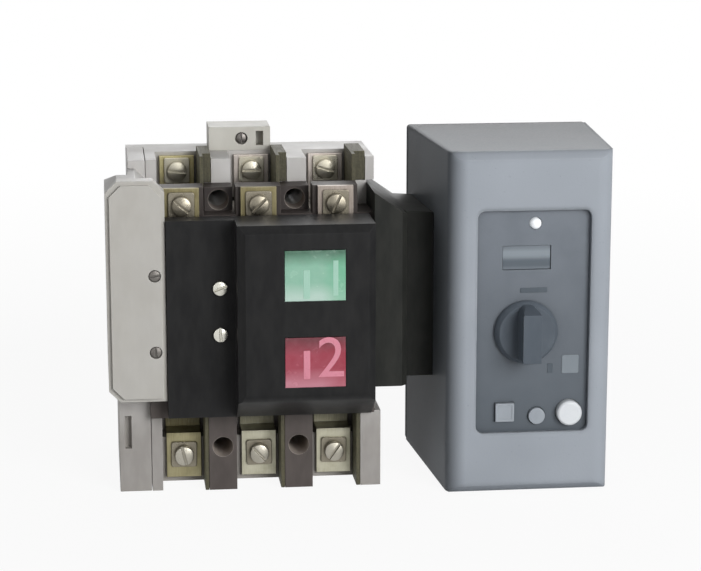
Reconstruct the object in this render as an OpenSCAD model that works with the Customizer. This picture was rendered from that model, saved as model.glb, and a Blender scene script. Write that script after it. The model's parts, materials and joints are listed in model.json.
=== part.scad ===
// Automatic transfer switch: a three-pole double-throw switch and its motor
// operator, side by side on one mounting panel.
// Frame: X to the right, Y into the panel, Z up. The origin is the centre of
// the four switch mounting screws, on the panel's face. Depths are measured
// forwards from the panel, so a depth d lies at y = -d. Millimetres.

/* [Poles] */
// Distance between the centre lines of two poles
pole_pitch = 41; // [40:0.5:46]
// Inside width of one contact chamber
chamber_w = 24; // [22:0.5:25]
// Thickness of the left outer wall of the contact housing
wall_left = 6; // [5:0.5:8]
// Thickness of the right outer wall of the contact housing
wall_right = 8; // [6:0.5:10]

/* [Switch base] */
// Height of the base above the centre of its mounting screws
base_up = 86; // [84:1:92]
// Height of the base below the centre of its mounting screws
base_down = 90; // [86:1:94]
// Thickness of the rear slab of the base
base_t = 12; // [10:0.5:14]
// Width of the phase walls on the terminal decks
phase_wall_w = 15; // [13.5:0.5:16]
// Height of the upper terminal deck
upper_deck_h = 26; // [25:0.5:30]
// Depth of the upper deck's phase walls
upper_wall_d = 58; // [52:1:64]
// Height of the lower terminal deck
lower_deck_h = 42; // [38:0.5:43]
// Depth of the lower deck's phase walls
lower_wall_d = 90; // [84:1:92]
// Radius of the mounting screw holes
mount_hole_r = 2.75; // [2.2:0.05:3.2]
// Distance between the mounting holes up and down
mount_span = 132; // [130:1:134]

/* [Contacts] */
// Depth of the main shaft's axis
shaft_d = 58; // [57.5:0.1:58.5]
// Height of the main shaft's axis
shaft_z = -8; // [-10:0.5:-6]
// Radius from the shaft to the moving contact bar
arm_r = 40; // [38:0.5:41]
// Radius of the moving contact bar
tip_r = 4; // [3:0.25:4.5]
// Half of the angle through which the shaft turns
half_throw = 30; // [27:0.5:31]
// How far the load terminals' pads stand in front of their straps
load_step = 14; // [10:0.5:15]
// Thickness of the copper terminal straps
strap_t = 3; // [2.5:0.25:3.5]
// Width of the copper terminal straps
strap_w = 19; // [16:0.5:20]
// Thickness of a contact button
button_t = 2; // [1.5:0.25:2.5]
// Gap between closed contacts
contact_gap = 0.3; // [0.2:0.05:0.5]
// Side of the square main shaft
shaft_sq = 11; // [10:0.25:11.5]
// Radius of the shaft journals
journal_r = 5.42; // [5:0.02:5.44]
// Radial running clearance of the journals
journal_gap = 0.08; // [0.02:0.01:0.1]
// Wall of a bearing bush
bush_wall = 3.5; // [2.5:0.25:4]

/* [Terminal screws] */
// Thread radius of a terminal screw
screw_r = 3; // [2.5:0.25:3.25]
// Head radius of a terminal screw
head_r = 5.2; // [4.5:0.1:5.8]
// Head height of a terminal screw
head_h = 4; // [3:0.25:4.5]
// Side of the square clamp washer
washer_w = 14; // [12:0.5:15]
// Thickness of the clamp washer
washer_t = 1.5; // [1:0.25:2]

/* [Front cover] */
// How far the contact housing's face stands in front of the source 2 straps
housing_cap = 6.7; // [6.5:0.1:8.5]
// Depth of the front cover's low part in front of the contact housing
cover_low_t = 12; // [10:0.5:14]
// Depth of the front cover's raised part in front of the contact housing
cover_rise = 34; // [33:0.5:38]
// Height of the cover above the upper window's centre
cover_head = 26; // [23:0.5:29]
// Height of the cover below the lower window's centre
cover_foot = 34; // [33:0.5:37]
// Wall of the front cover
cover_wall = 2.5; // [2:0.25:3]
// Width of an indicator window
window_w = 32; // [28:0.5:34]
// Height of an indicator window
window_h = 27; // [24:0.5:28]
// Centre of the windows, to the right of the middle pole
window_x = 26; // [25:0.5:27]
// Height of the upper window's centre
window_z = 35; // [34:0.5:36]
// Distance from the indicator crank's pin to the front of the cover
pin_setback = 24; // [23.5:0.1:24.5]

/* [Side housing] */
// Width of the side housing
side_w = 22; // [20:0.5:26]
// How far its middle stands out to the left
side_step = 5; // [3:0.5:7]
// Depth of the side cover in front of the contact housing
side_cover_t = 12; // [10:0.5:16]
// Wall of the side housing and its cover
side_wall = 3; // [2:0.25:3.5]

/* [Motor operator] */
// Height of the operator case
op_h = 185; // [180:1:192]
// Width of the operator case at the panel
op_rear_w = 103; // [100:0.5:108]
// Width of the operator case at its front
op_front_w = 87; // [86:0.5:92]
// Depth of the operator case
op_d = 112; // [110:0.5:116]
// Distance from the middle pole to the operator's centre
op_x = 142.5; // [141:0.5:146]
// Wall of the operator case
op_wall = 3; // [2.5:0.25:3.5]
// Width of the facia opening
facia_w = 61; // [58:0.5:62]
// Height of the facia opening
facia_h = 121; // [118:1:124]
// Thickness of the operator case's front wall
op_front_wall = 3.5; // [3:0.25:4.5]
// Distance from the facia's back to the control board
board_gap = 9.4; // [9:0.1:10.5]
// Radius of the selector knob's disc
knob_r = 17; // [14:0.5:18]
// Height of the selector's grip bar
grip_h = 15; // [12:0.5:17]
// Radius of the test button
test_r = 6.8; // [6:0.1:7.5]
// Travel of the test button
test_travel = 3; // [2:0.25:3.5]
// Side of the square key
key_w = 10; // [8:0.5:11]
// Radius of the small key
small_r = 4.5; // [3:0.1:5]
// Travel of the square key and the small key
key_travel = 1.5; // [1:0.1:1.8]

/* [Gears] */
// Tooth module of the drive gears
gear_m = 1.5; // [1.48:0.01:1.52]
// Teeth of the drive gear, counted as a full wheel
gear_n = 40; // [40:1:40]
// Teeth of the motor pinion
pinion_n = 12; // [12:1:12]
// Thickness of the drive gear
gear_t = 6; // [5:0.5:7]

/* [Hidden] */

light_grey = "#b9b9b6";
black = "#2a2b2c";
copper = "#b0a36a";
nickel = "#d4d4cc";
steel = "#9a9c9f";
case_grey = "#9fa5ad";
facia_grey = "#69717a";

round_fn = 48;
small_fn = 24;
fit = 0.3;             // clearance between pieces that slide or stand clear
slip = 0.2;            // clearance between pieces that are dropped in
over = 1;              // overshoot of a cutting tool past the face it cuts

poles = [-pole_pitch, 0, pole_pitch];
gaps = [-pole_pitch / 2, pole_pitch / 2];

// Contact housing
housing_x0 = -pole_pitch - chamber_w / 2 - wall_left;
housing_x1 = pole_pitch + chamber_w / 2 + wall_right;
base_top = base_up;
base_bottom = -base_down;
upper_deck_z = base_top - upper_deck_h;
lower_deck_z = base_bottom + lower_deck_h;
base_x0 = housing_x0 - side_w + side_step;
base_x1 = housing_x1 + 4;
chamber_floor = lower_deck_z + 3;
end_wall = 7;

// Contact positions, worked out from the throw of the moving arm
reach = arm_r * sin(half_throw) + tip_r;
rear_face = shaft_d - reach - contact_gap;
front_face = shaft_d + reach + contact_gap;
rear_strap = [rear_face - button_t - strap_t, rear_face - button_t];
front_strap = [front_face + button_t, front_face + button_t + strap_t];
load_strap = [shaft_d - strap_t / 2, shaft_d + strap_t / 2];
housing_d = front_strap[1] + housing_cap;
touch_z = shaft_z + arm_r * cos(half_throw);
contact_half = 8;
rear_strap_z = [touch_z - contact_half - 1, base_top - 2];
source_1_z = base_top - 2 - washer_w / 2 - 1;
front_strap_z = [touch_z - contact_half - 1, upper_deck_z + 15];
source_2_z = upper_deck_z + 6;
load_z = base_bottom + 16;
load_strap_z = [base_bottom + 3, shaft_z - 32];
load_pad = [load_strap[0] + load_step, load_strap[1] + load_step];
load_pad_top = base_bottom + 28;
shank_l = 12;
hole_r = screw_r + fit;
housing_sill = upper_deck_z - 8;
post_t = 13;           // block that carries a source 2 terminal
screw_hole_l = 12;
partition_t = 14;      // dark partitions between the source 2 terminals
partition_cap = 7;      // partition above the centre of its mounting hole
barrier_t = 2;
barrier_body = [4.5, 4.5, 6.2]; // the barriers' thick tops, beside their fins
barrier_proud = 10;    // fin in front of the upper deck's walls
barrier_cap = 3;       // fin above the base
barrier_x = [gaps[0] - phase_wall_w / 2, gaps[1] - phase_wall_w / 2, housing_x1 - end_wall];
barrier_step_z = mount_span / 2 + partition_cap + slip;
counterbore_t = 4;     // wall under the head of a mounting screw

// Moving contacts and shaft
hub_r = 12;
arm_half = 3;
coupling_sq = 7.5;
shaft_x1 = housing_x1 + 16;

// Front cover
raised_x0 = window_x - window_w / 2 - 24;
raised_x1 = window_x + window_w / 2 + 16;
low_x0 = housing_x0 + 9;
cover_low_d = housing_d + cover_low_t;
cover_d = housing_d + cover_rise;
cover_bevel = 4;
chin = 13;
pin_d = cover_d - pin_setback;
crank_r = pin_d - shaft_d;
window_pitch = 2 * crank_r * sin(half_throw);
lower_window_z = window_z - window_pitch;
cover_top = window_z + cover_head;
cover_bottom = lower_window_z - cover_foot;
crank_x = gaps[1];
crank_t = 5;
pin_r = 2.5;
pin_slack = 0.7;
pin_z = shaft_z + crank_r * sin(half_throw);
crank_half_h = 4;
crank_end = crank_r + crank_half_h;
crank_span = [crank_x - crank_t / 2, crank_x + crank_t / 2];
pin_half = 7.5;
carriage_t = 2.5;
carriage_d = pin_d + pin_r + pin_slack + 5.5;
backing_d = carriage_d + carriage_t + 0.5;
backing_t = 1.5;
flag_d = backing_d + backing_t + 2.5;
flag_t = 1.2;
flag_x = [window_x - window_w / 2 - 7, window_x + window_w / 2 + 1.5];
tab_x1 = flag_x[0] + 5.5;
cheek = [pin_half - 3.5, pin_half];
rib = [pin_half + fit, pin_half + fit + 2.5];
window_rim = 1.5;
backing_x = [tab_x1 + 0.6, window_x + window_w / 2 + 6];
backing_z = [lower_window_z - window_h / 2 - 2, window_z + window_h / 2 + 3];
cover_screw_r = 1.5;
cover_screw_hole = cover_screw_r + 0.1;
cover_screws = [[raised_x0 - 8, 25], [raised_x0 - 8, 0]];

// Side housing
side_x0 = housing_x0 - side_w;
side_cover_d = housing_d + side_cover_t;
side_mid_z = [cover_bottom + 9, base_top - 4];
side_upper_d = 60;
side_lower_d = lower_wall_d - 2;
shaft_x0 = side_x0 + side_wall + 1;
side_cover_x1 = low_x0 - fit;
side_screw_x = housing_x0 + wall_left / 2;
side_screw_z = [-9, 32];
side_shoulder_x = side_x0 + 2.5 * side_step;
side_slope = [[base_t, side_mid_z[1] - 18], [housing_d - 12, side_mid_z[1]]];
side_cavity_top = side_slope[0][1] - side_wall - 5;

// Operator
op_z = base_bottom + op_h / 2;
op_top = base_bottom + op_h;
facia_x = op_x + 1.5;
facia_z = op_z + 1;
facia_face = op_d - op_front_wall;
facia_t = 3.5;
lamp_pos = [op_x + 2.5, facia_z + 53];
display_pos = [op_x - 2, facia_z + 34.5];
display_size = [26, 13];
knob_pos = [op_x - 2, facia_z - 5.5];
square_pos = [op_x - 13, facia_z - 49.5];
small_pos = [op_x + 4.5, facia_z - 52];
test_pos = [op_x + 22, facia_z - 50.5];
knob_disc_t = 5;
knob_shaft_r = 4.4;
board_t = 1.6;
back_t = 3;
case_screw = [op_rear_w / 2 - 9, op_h / 2 - 9];
insert_pos = [36, 70];
insert_r = 2.1;
plug_size = [54, 24];
plug_x = op_x;
plug_d = 32;

// Gears
pressure = 25;
addendum = 0.9;
gear_clear = 2.6;
gear_pitch_r = gear_m * gear_n / 2;
pinion_pitch_r = gear_m * pinion_n / 2;
gear_hub_r = 10;
gear_x = flank(shaft_d + gear_pitch_r + gear_m * addendum) + op_wall + gear_clear;
gear_hub_x = flank(shaft_d + gear_hub_r) + op_wall + slip;
dedendum = 1.15;
tooth_play = 0.12;
pinion_z = shaft_z - gear_pitch_r - pinion_pitch_r;
motor_shaft_r = 3;
plate_x = gear_x + gear_t + 4;
plate_t = 3;

// Auxiliary cam: a spiral that lifts its plunger in proportion to the turn
cam_low = 9;
cam_rise = 3;
cam_x = [side_x0 + side_wall + 5, side_x0 + side_wall + 9];
plunger_r = 1.5;
plunger_gap = 0.35;

// ---------------------------------------------------------------- helpers

// A block from one corner to the other, its depth measured from the panel
module block(x, d, z)
    translate([x[0], -d[1], z[0]])
        cube([x[1] - x[0], d[1] - d[0], z[1] - z[0]]);

// A front-view outline made solid between two depths
module outline(d)
    translate([0, -d[0], 0]) rotate([90, 0, 0])
        linear_extrude(d[1] - d[0]) children();

// A side-view outline, drawn as [depth, height], made solid between two x
module profile(x)
    translate([x[0], 0, 0]) rotate([90, 0, 90]) linear_extrude(x[1] - x[0])
        mirror([1, 0]) children();

// A round bar or bore that runs forwards from the panel
module peg(x, z, r, d, fn = round_fn)
    translate([x, -d[0], z]) rotate([90, 0, 0])
        cylinder(r = r, h = d[1] - d[0], $fn = fn);

// A round bar or bore along the main shaft's direction
module axle(x, d, z, r, fn = round_fn)
    translate([x[0], -d, z]) rotate([0, 90, 0])
        cylinder(r = r, h = x[1] - x[0], $fn = fn);

// A rectangle round its centre, with rounded corners of six steps each
function arc(c, r, from, steps = 6) =
    [for (i = [0 : steps]) c + r * [cos(from + 90 * i / steps), sin(from + 90 * i / steps)]];
function rounded(w, h, r) = concat(
    arc([w / 2 - r, h / 2 - r], r, 0), arc([r - w / 2, h / 2 - r], r, 90),
    arc([r - w / 2, r - h / 2], r, 180), arc([w / 2 - r, r - h / 2], r, 270));
module rounded_rect(w, h, r) polygon(rounded(w, h, r));

// A slotted cheese-head screw whose head stands on depth d
module slotted_screw(x, z, d, shank, head, height, length)
    difference() {
        union() {
            peg(x, z, shank, [d - length, d], small_fn);
            peg(x, z, head, [d, d + height], small_fn);
        }
        block([x - head, x + head], [d + height * 0.6, d + height + over],
            [z - 0.6, z + 0.6]);
    }

// Things carried by the shaft are drawn upright, then turned to their place
module on_shaft(angle)
    translate([0, -shaft_d, shaft_z]) rotate([angle, 0, 0])
        translate([0, shaft_d, -shaft_z]) children();

// ------------------------------------------------------------ switch base

module mounting_holes()
    for (x = gaps, s = [-1, 1]) {
        peg(x, s * mount_span / 2, mount_hole_r,
            [-over, base_t + counterbore_t + over], small_fn);
        peg(x, s * mount_span / 2, mount_hole_r * 2,
            [base_t + counterbore_t, lower_wall_d + over], small_fn);
    }

module rear_base()
    color(light_grey)
        difference() {
            union() {
                block([base_x0, base_x1], [0, base_t], [base_bottom, side_slope[0][1]]);
                block([side_shoulder_x, base_x1], [0, base_t], [base_bottom, base_top]);
                upper_deck();
                lower_deck();
            }
            mounting_holes();
            for (x = poles) {
                peg(x, source_1_z, hole_r,
                    [rear_strap[0] - shank_l, rear_strap[1]], small_fn);
                peg(x, load_z, hole_r,
                    [load_pad[0] - shank_l, load_pad[1]], small_fn);
            }
        }

// The walls of the upper deck make room for the thick tops of the barriers
module upper_deck() {
    wall_x1 = [for (x = gaps) x + phase_wall_w / 2];
    block([housing_x0 + fit, housing_x1], [base_t, rear_strap[0]],
        [upper_deck_z, base_top]);
    block([housing_x0 + fit, poles[0] - chamber_w / 2], [base_t, upper_wall_d],
        [upper_deck_z, base_top]);
    for (i = [0, 1]) {
        block([barrier_x[i], wall_x1[i]], [base_t, upper_wall_d],
            [upper_deck_z, barrier_step_z - slip]);
        block([barrier_x[i] + barrier_body[i], wall_x1[i]], [base_t, upper_wall_d],
            [upper_deck_z, base_top]);
    }
    block([barrier_x[2], housing_x1], [base_t, upper_wall_d],
        [upper_deck_z, barrier_step_z - slip]);
    block([barrier_x[2] + barrier_body[2], housing_x1], [base_t, upper_wall_d],
        [upper_deck_z, base_top]);
    block([barrier_x[2] + barrier_body[2], base_x1], [base_t - over, upper_wall_d],
        [max(barrier_step_z, coupling_top + fit), base_top]);
}

module lower_deck() {
    sills = concat([[housing_x0 + fit, gaps[0] - phase_wall_w / 2]],
        [[gaps[0] + phase_wall_w / 2, gaps[1] - phase_wall_w / 2]],
        [[gaps[1] + phase_wall_w / 2, base_x1]]);
    for (w = sills) {
        block(w, [base_t, load_strap[0]], [base_bottom, lower_deck_z]);
        block(w, [base_t, load_pad[0]], [base_bottom, load_pad_top - strap_t]);
    }
    block([housing_x0 + fit, poles[0] - chamber_w / 2], [base_t, side_lower_d],
        [base_bottom, lower_deck_z]);
    block([housing_x1 - end_wall, base_x1], [base_t, lower_wall_d],
        [base_bottom, lower_deck_z]);
}

// --------------------------------------------------------- contact housing

module contact_housing()
    color("#3a3533")
        difference() {
            union() {
                block([housing_x0, housing_x1], [base_t, housing_d],
                    [lower_deck_z, housing_sill]);
                block([housing_x0, housing_x1], [base_t, front_strap[0]],
                    [housing_sill - over, upper_deck_z]);
                for (x = poles)
                    block([x - chamber_w / 2, x + chamber_w / 2],
                        [front_strap[0] - post_t, front_strap[0]],
                        [upper_deck_z - over, front_strap_z[1]]);
                for (s = [-1, 1])
                    block([for (r = [s < 0 ? -rib[1] : rib[0],
                                     s < 0 ? -rib[0] : rib[1]]) crank_x + r],
                        [housing_d - over, carriage_d - fit],
                        [pin_z - window_pitch - 3, pin_z + 30]);
            }
            for (x = poles) chamber_cut(x);
            mounting_holes();
            shaft_cut();
            crank_cut();
            for (x = poles)
                peg(x, source_2_z, hole_r,
                    [front_strap[0] - shank_l, front_strap[1]], small_fn);
            for (z = side_screw_z)
                peg(side_screw_x, z, cover_screw_hole,
                    [housing_d - screw_hole_l, housing_d + over], small_fn);
            for (p = cover_screws)
                peg(p[0], p[1], cover_screw_hole,
                    [housing_d - screw_hole_l, housing_d + over], small_fn);
        }

// Dark walls between the poles: two low ones between the load terminals, and
// two short partitions between the posts of the source 2 terminals
module phase_walls()
    color("#3a3533")
        difference() {
            for (x = gaps) {
                wall = [x - phase_wall_w / 2, x + phase_wall_w / 2];
                block(wall, [base_t, lower_wall_d], [base_bottom, lower_deck_z]);
                block(wall, [upper_wall_d, upper_wall_d + partition_t],
                    [upper_deck_z, mount_span / 2 + partition_cap]);
            }
            mounting_holes();
        }

// One chamber: the well in which the arm swings, open at the top for the arc
module chamber_cut(x) {
    block([x - chamber_w / 2, x + chamber_w / 2],
        [rear_strap[0], front_strap[0]], [chamber_floor, housing_sill + over]);
    block([x - chamber_w / 2, x + chamber_w / 2],
        [rear_strap[0], front_strap[0] - post_t],
        [housing_sill, upper_deck_z + over]);
    block([x - strap_w / 2 - slip, x + strap_w / 2 + slip],
        [front_strap[0] - over, front_strap[1]],
        [front_strap_z[0], housing_sill + over]);
    block([x - strap_w / 2 - slip, x + strap_w / 2 + slip],
        [load_strap[0] - slip, load_strap[1] + slip],
        [lower_deck_z - over, chamber_floor + over]);
}

module shaft_cut() {
    axle([housing_x0 + wall_left - over, housing_x1 - wall_right + over],
        shaft_d, shaft_z, shaft_sq * 0.71 + 1.2);
    axle([housing_x0 - over, housing_x1 + over], shaft_d, shaft_z,
        journal_r + journal_gap + bush_wall);
}

// The slot in the right-hand phase wall in which the indicator crank swings
module crank_cut()
    block([crank_x - crank_t / 2 - 1.5, crank_x + crank_t / 2 + 1.5],
        [shaft_d - 12, housing_d + over],
        [shaft_z - crank_end * sin(half_throw + 8), shaft_z + crank_end * sin(half_throw + 8)]);

module arc_chute(x)
    color("#8d8f8a") {
        front = front_strap[0] - post_t - 3;
        rear = rear_strap[1] + 3;
        z0 = shaft_z + arm_r + tip_r + 1.5;
        z1 = upper_deck_z - 1;
        plates = 8;
        step = (front - rear - 1.5) / (plates - 1);
        half = chamber_w / 2 - fit;
        for (s = [-1, 1])
            block(s < 0 ? [x - half, x - half + 1.5] : [x + half - 1.5, x + half],
                [rear, front], [z0, z1]);
        for (i = [0 : plates - 1])
            difference() {
                block([x - half + 1, x + half - 1],
                    [rear + i * step, rear + i * step + 1.5], [z0, z1]);
                block([x - 3, x + 3],
                    [rear + i * step - over, rear + i * step + 1.5 + over],
                    [z0 - over, z0 + 7]);
            }
    }

// ---------------------------------------------------------------- terminals

module source_1_terminal(x)
    color(copper) {
        difference() {
            block([x - strap_w / 2, x + strap_w / 2], rear_strap, rear_strap_z);
            peg(x, source_1_z, hole_r, [0, shaft_d], small_fn);
        }
        peg(x, touch_z, contact_half * 0.75, [rear_strap[1], rear_face]);
    }

module source_2_terminal(x)
    color(copper) {
        difference() {
            block([x - strap_w / 2, x + strap_w / 2], front_strap, front_strap_z);
            peg(x, source_2_z, hole_r, [shaft_d, front_strap[1] + over], small_fn);
        }
        peg(x, touch_z, contact_half * 0.75, [front_face, front_strap[0]]);
    }

// The load strap forks into two jaws that grip the moving contact's hub
module load_terminal(x)
    color(copper) {
        jaw = [arm_half + contact_gap, arm_half + contact_gap + 2];
        difference() {
            union() {
                block([x - strap_w / 2, x + strap_w / 2], load_pad,
                    [load_strap_z[0], load_pad_top]);
                block([x - strap_w / 2, x + strap_w / 2], [load_strap[0], load_pad[1]],
                    [load_pad_top - strap_t, load_pad_top]);
                block([x - strap_w / 2, x + strap_w / 2], load_strap,
                    [load_pad_top - strap_t, load_strap_z[1]]);
                block([x - jaw[1], x + jaw[1]], [shaft_d - 7, shaft_d + 7],
                    [load_strap_z[1] - 4, load_strap_z[1] + 2]);
                for (s = [[-jaw[1], -jaw[0]], jaw]) {
                    block([x + s[0], x + s[1]], [shaft_d - 7, shaft_d + 7],
                        [load_strap_z[1], shaft_z]);
                    axle([x + s[0], x + s[1]], shaft_d, shaft_z, hub_r);
                }
            }
            peg(x, load_z, hole_r, [0, housing_d], small_fn);
            axle([x - jaw[1] - over, x + jaw[1] + over], shaft_d, shaft_z,
                shaft_sq * 0.71 + 0.8);
        }
    }
module terminal_screw(x, z, d)
    color(nickel) {
        block([x - washer_w / 2, x + washer_w / 2], [d, d + washer_t],
            [z - washer_w / 2, z + washer_w / 2]);
        slotted_screw(x, z, d + washer_t, screw_r, head_r, head_h,
            shank_l + washer_t - 1);
    }

module source_1_screws() for (x = poles) terminal_screw(x, source_1_z, rear_strap[1]);
module source_2_screws() for (x = poles) terminal_screw(x, source_2_z, front_strap[1]);
module load_screws() for (x = poles) terminal_screw(x, load_z, load_pad[1]);

module phase_barriers()
    color("#3b3a2c")
        for (i = [0 : 2]) {
            x1 = barrier_x[i] - slip;
            block([x1 - barrier_t, x1], [rear_strap[0] + fit, upper_wall_d + barrier_proud],
                [upper_deck_z + fit, base_top + barrier_cap]);
            block([x1 - barrier_t, x1 + barrier_body[i]], [rear_strap[0] + fit, upper_wall_d],
                [barrier_step_z, base_top + barrier_cap]);
            block([x1 - barrier_t, x1], [load_pad[0] + fit, lower_wall_d],
                [base_bottom, lower_deck_z - fit]);
        }

// ---------------------------------------------------------- moving contacts

module square_bar(x, side)
    block(x, [shaft_d - side / 2, shaft_d + side / 2],
        [shaft_z - side / 2, shaft_z + side / 2]);

module main_shaft()
    color("#6b4a3a")
        on_shaft(-half_throw) {
            square_bar([housing_x0 + wall_left + 1, housing_x1 - wall_right - 1], shaft_sq);
            axle([shaft_x0, housing_x1 + 5], shaft_d, shaft_z, journal_r);
            square_bar([housing_x1, shaft_x1], coupling_sq);
        }

module moving_contact(x)
    color(copper)
        on_shaft(-half_throw)
            difference() {
                union() {
                    axle([x - arm_half, x + arm_half], shaft_d, shaft_z, hub_r);
                    block([x - arm_half, x + arm_half],
                        [shaft_d - tip_r + 0.5, shaft_d + tip_r - 0.5],
                        [shaft_z, shaft_z + arm_r]);
                    axle([x - contact_half, x + contact_half], shaft_d,
                        shaft_z + arm_r, tip_r);
                }
                square_bar([x - arm_half - over, x + arm_half + over], shaft_sq);
            }

module indicator_crank()
    color("#d8d5c8")
        on_shaft(-half_throw)
            difference() {
                union() {
                    axle(crank_span, shaft_d, shaft_z, 9.5);
                    block(crank_span, [shaft_d, shaft_d + crank_r],
                        [shaft_z - crank_half_h, shaft_z + crank_half_h]);
                    axle(crank_span, shaft_d + crank_r, shaft_z, crank_half_h);
                    axle([crank_x - pin_half, crank_x + pin_half],
                        shaft_d + crank_r, shaft_z, pin_r);
                }
                square_bar([crank_x - crank_t, crank_x + crank_t], shaft_sq);
            }

module shaft_bushes()
    color("#c9b56b")
        for (x = [[housing_x0, housing_x0 + wall_left],
                  [housing_x1 - wall_right, housing_x1]])
            difference() {
                axle(x, shaft_d, shaft_z, journal_r + journal_gap + bush_wall);
                axle([x[0] - over, x[1] + over], shaft_d, shaft_z,
                    journal_r + journal_gap);
            }

// ------------------------------------------------------------ front cover

// A box whose front edges are bevelled, drawn from its plan and its side view
module bevelled(x, d, z, bevel, chin = 0)
    intersection() {
        translate([0, 0, z[0]]) linear_extrude(z[1] - z[0]) mirror([0, 1])
            polygon([[x[0], d[0]], [x[0], d[1] - bevel], [x[0] + bevel, d[1]],
                [x[1] - bevel, d[1]], [x[1], d[1] - bevel], [x[1], d[0]]]);
        profile(x)
            polygon([[d[0], z[0]], [cover_low_d, z[0]],
                [d[1] - bevel / 2, z[0] + chin], [d[1], z[0] + chin + bevel],
                [d[1], z[1] - bevel], [d[1] - bevel, z[1]], [d[0], z[1]]]);
    }

module window_hole(z, grow, d)
    block([window_x - window_w / 2 - grow, window_x + window_w / 2 + grow], d,
        [z - window_h / 2 - grow, z + window_h / 2 + grow]);

module front_cover()
    color(black) {
        difference() {
            union() {
                block([low_x0, raised_x0 + over], [housing_d, cover_low_d],
                    [cover_bottom, cover_top]);
                bevelled([raised_x0, raised_x1], [housing_d, cover_d],
                    [cover_bottom, cover_top], cover_bevel, chin);
            }
            block([low_x0 + cover_wall, raised_x0 + cover_wall + over],
                [housing_d - over, cover_low_d - cover_wall],
                [cover_bottom + cover_wall, cover_top - cover_wall]);
            bevelled([raised_x0 + cover_wall, raised_x1 - cover_wall],
                [housing_d - over, cover_d - cover_wall],
                [cover_bottom + cover_wall, cover_top - cover_wall],
                cover_bevel - 1, chin);
            for (z = [window_z, lower_window_z])
                window_hole(z, 0, [cover_d - cover_wall - over, cover_d + over]);
            for (p = cover_screws)
                peg(p[0], p[1], cover_screw_r + fit,
                    [cover_low_d - cover_wall - over, cover_low_d + over], small_fn);
        }
        for (p = cover_screws)
            difference() {
                peg(p[0], p[1], 4, [housing_d, cover_low_d - cover_wall], small_fn);
                peg(p[0], p[1], cover_screw_r + fit,
                    [housing_d - over, cover_low_d + over], small_fn);
            }
    }

module front_cover_screws()
    color("white")
        for (p = cover_screws)
            slotted_screw(p[0], p[1], cover_low_d, cover_screw_r, 3.8, 2.5,
                cover_low_d - housing_d + screw_hole_l - 1);

module window_lens(z)
    union() {
        window_hole(z, -slip, [cover_d - cover_wall - over, cover_d + 0.4]);
        window_hole(z, window_rim,
            [cover_d - cover_wall - 1, cover_d - cover_wall]);
    }
module upper_window() color("#5fc79a") window_lens(window_z);
module lower_window() color("#c8274f") window_lens(lower_window_z);

module indicator_backing()
    color("#e6e3da") {
        block(backing_x, [backing_d, backing_d + backing_t], backing_z);
        block([backing_x[1] - 3, backing_x[1]],
            [housing_d, backing_d + backing_t], backing_z);
        block([crank_x + rib[1] + fit, backing_x[1]],
            [housing_d, backing_d + backing_t], [backing_z[1] - 2.5, backing_z[1]]);
    }

module position_flag()
    color("white")
        block(flag_x, [flag_d, flag_d + flag_t],
            [window_z - window_h / 2 - 2, window_z + window_h / 2 + 2]);

// The flag's carriage: two forks straddle the crank and hold its pin
module flag_carriage()
    color("#d8d5c8") {
        plate_z = [pin_z - 2, window_z + 8];
        block([flag_x[0], crank_x + rib[1]],
            [carriage_d, carriage_d + carriage_t], plate_z);
        block([flag_x[0], tab_x1], [carriage_d, flag_d],
            [window_z - 8, plate_z[1]]);
        for (x = [[-cheek[1], -cheek[0]], cheek])
            profile([crank_x + x[0], crank_x + x[1]]) {
                slot = pin_r + pin_slack;
                rear = housing_d + over;
                front = carriage_d + carriage_t / 2;
                polygon([[rear, pin_z - slot - 2], [carriage_d - 3, pin_z - slot - 2],
                    [front, plate_z[0]], [front, pin_z + slot + 3],
                    [rear, pin_z + slot + 3], [rear, pin_z + slot],
                    [pin_d + slot, pin_z + slot], [pin_d + slot, pin_z - slot],
                    [rear, pin_z - slot]]);
            }
    }

// ------------------------------------------------------------ side housing

// The side housing's front view: a tall shape with its corners cut off
module side_shape(x, z, cut)
    polygon([[x[0] + cut, z[0]], [x[1], z[0]], [x[1], z[1] - cut],
        [x[1] - cut, z[1]], [x[0] + cut, z[1]], [x[0], z[1] - cut],
        [x[0], z[0] + cut]]);

side_cut = 6;

module side_housing()
    color(light_grey)
        difference() {
            union() {
                block([side_x0 + side_step, housing_x0], [base_t, side_lower_d],
                    [base_bottom, side_mid_z[0] + over]);
                outline([base_t, housing_d])
                    side_shape([side_x0, housing_x0], side_mid_z, side_cut);
                block([side_shoulder_x, housing_x0], [base_t, side_upper_d],
                    [side_mid_z[1] - 8, base_top]);
            }
            outline([base_t + 2, housing_d + over])
                side_shape([side_x0 + side_wall, housing_x0 - 1.5],
                    [side_mid_z[0] + side_wall, side_cavity_top], side_cut - 2);
            profile([side_x0 - over, side_shoulder_x])
                polygon([[base_t - over, side_slope[0][1]], side_slope[0], side_slope[1],
                    [side_slope[1][0], side_mid_z[1] + over],
                    [base_t - over, side_mid_z[1] + over]]);
            axle([housing_x0 - 3, housing_x0 + over], shaft_d, shaft_z, journal_r + 1);
            block([side_x0 + side_step + 3, side_x0 + side_step + 6.5],
                [side_lower_d - 4, side_lower_d + over],
                [base_bottom + 24, side_mid_z[0] - 12]);
            axle([side_x0 - over, side_x0 + 1.2], side_lower_d - 12,
                side_mid_z[1] - 20, 4, small_fn);
        }

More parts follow.
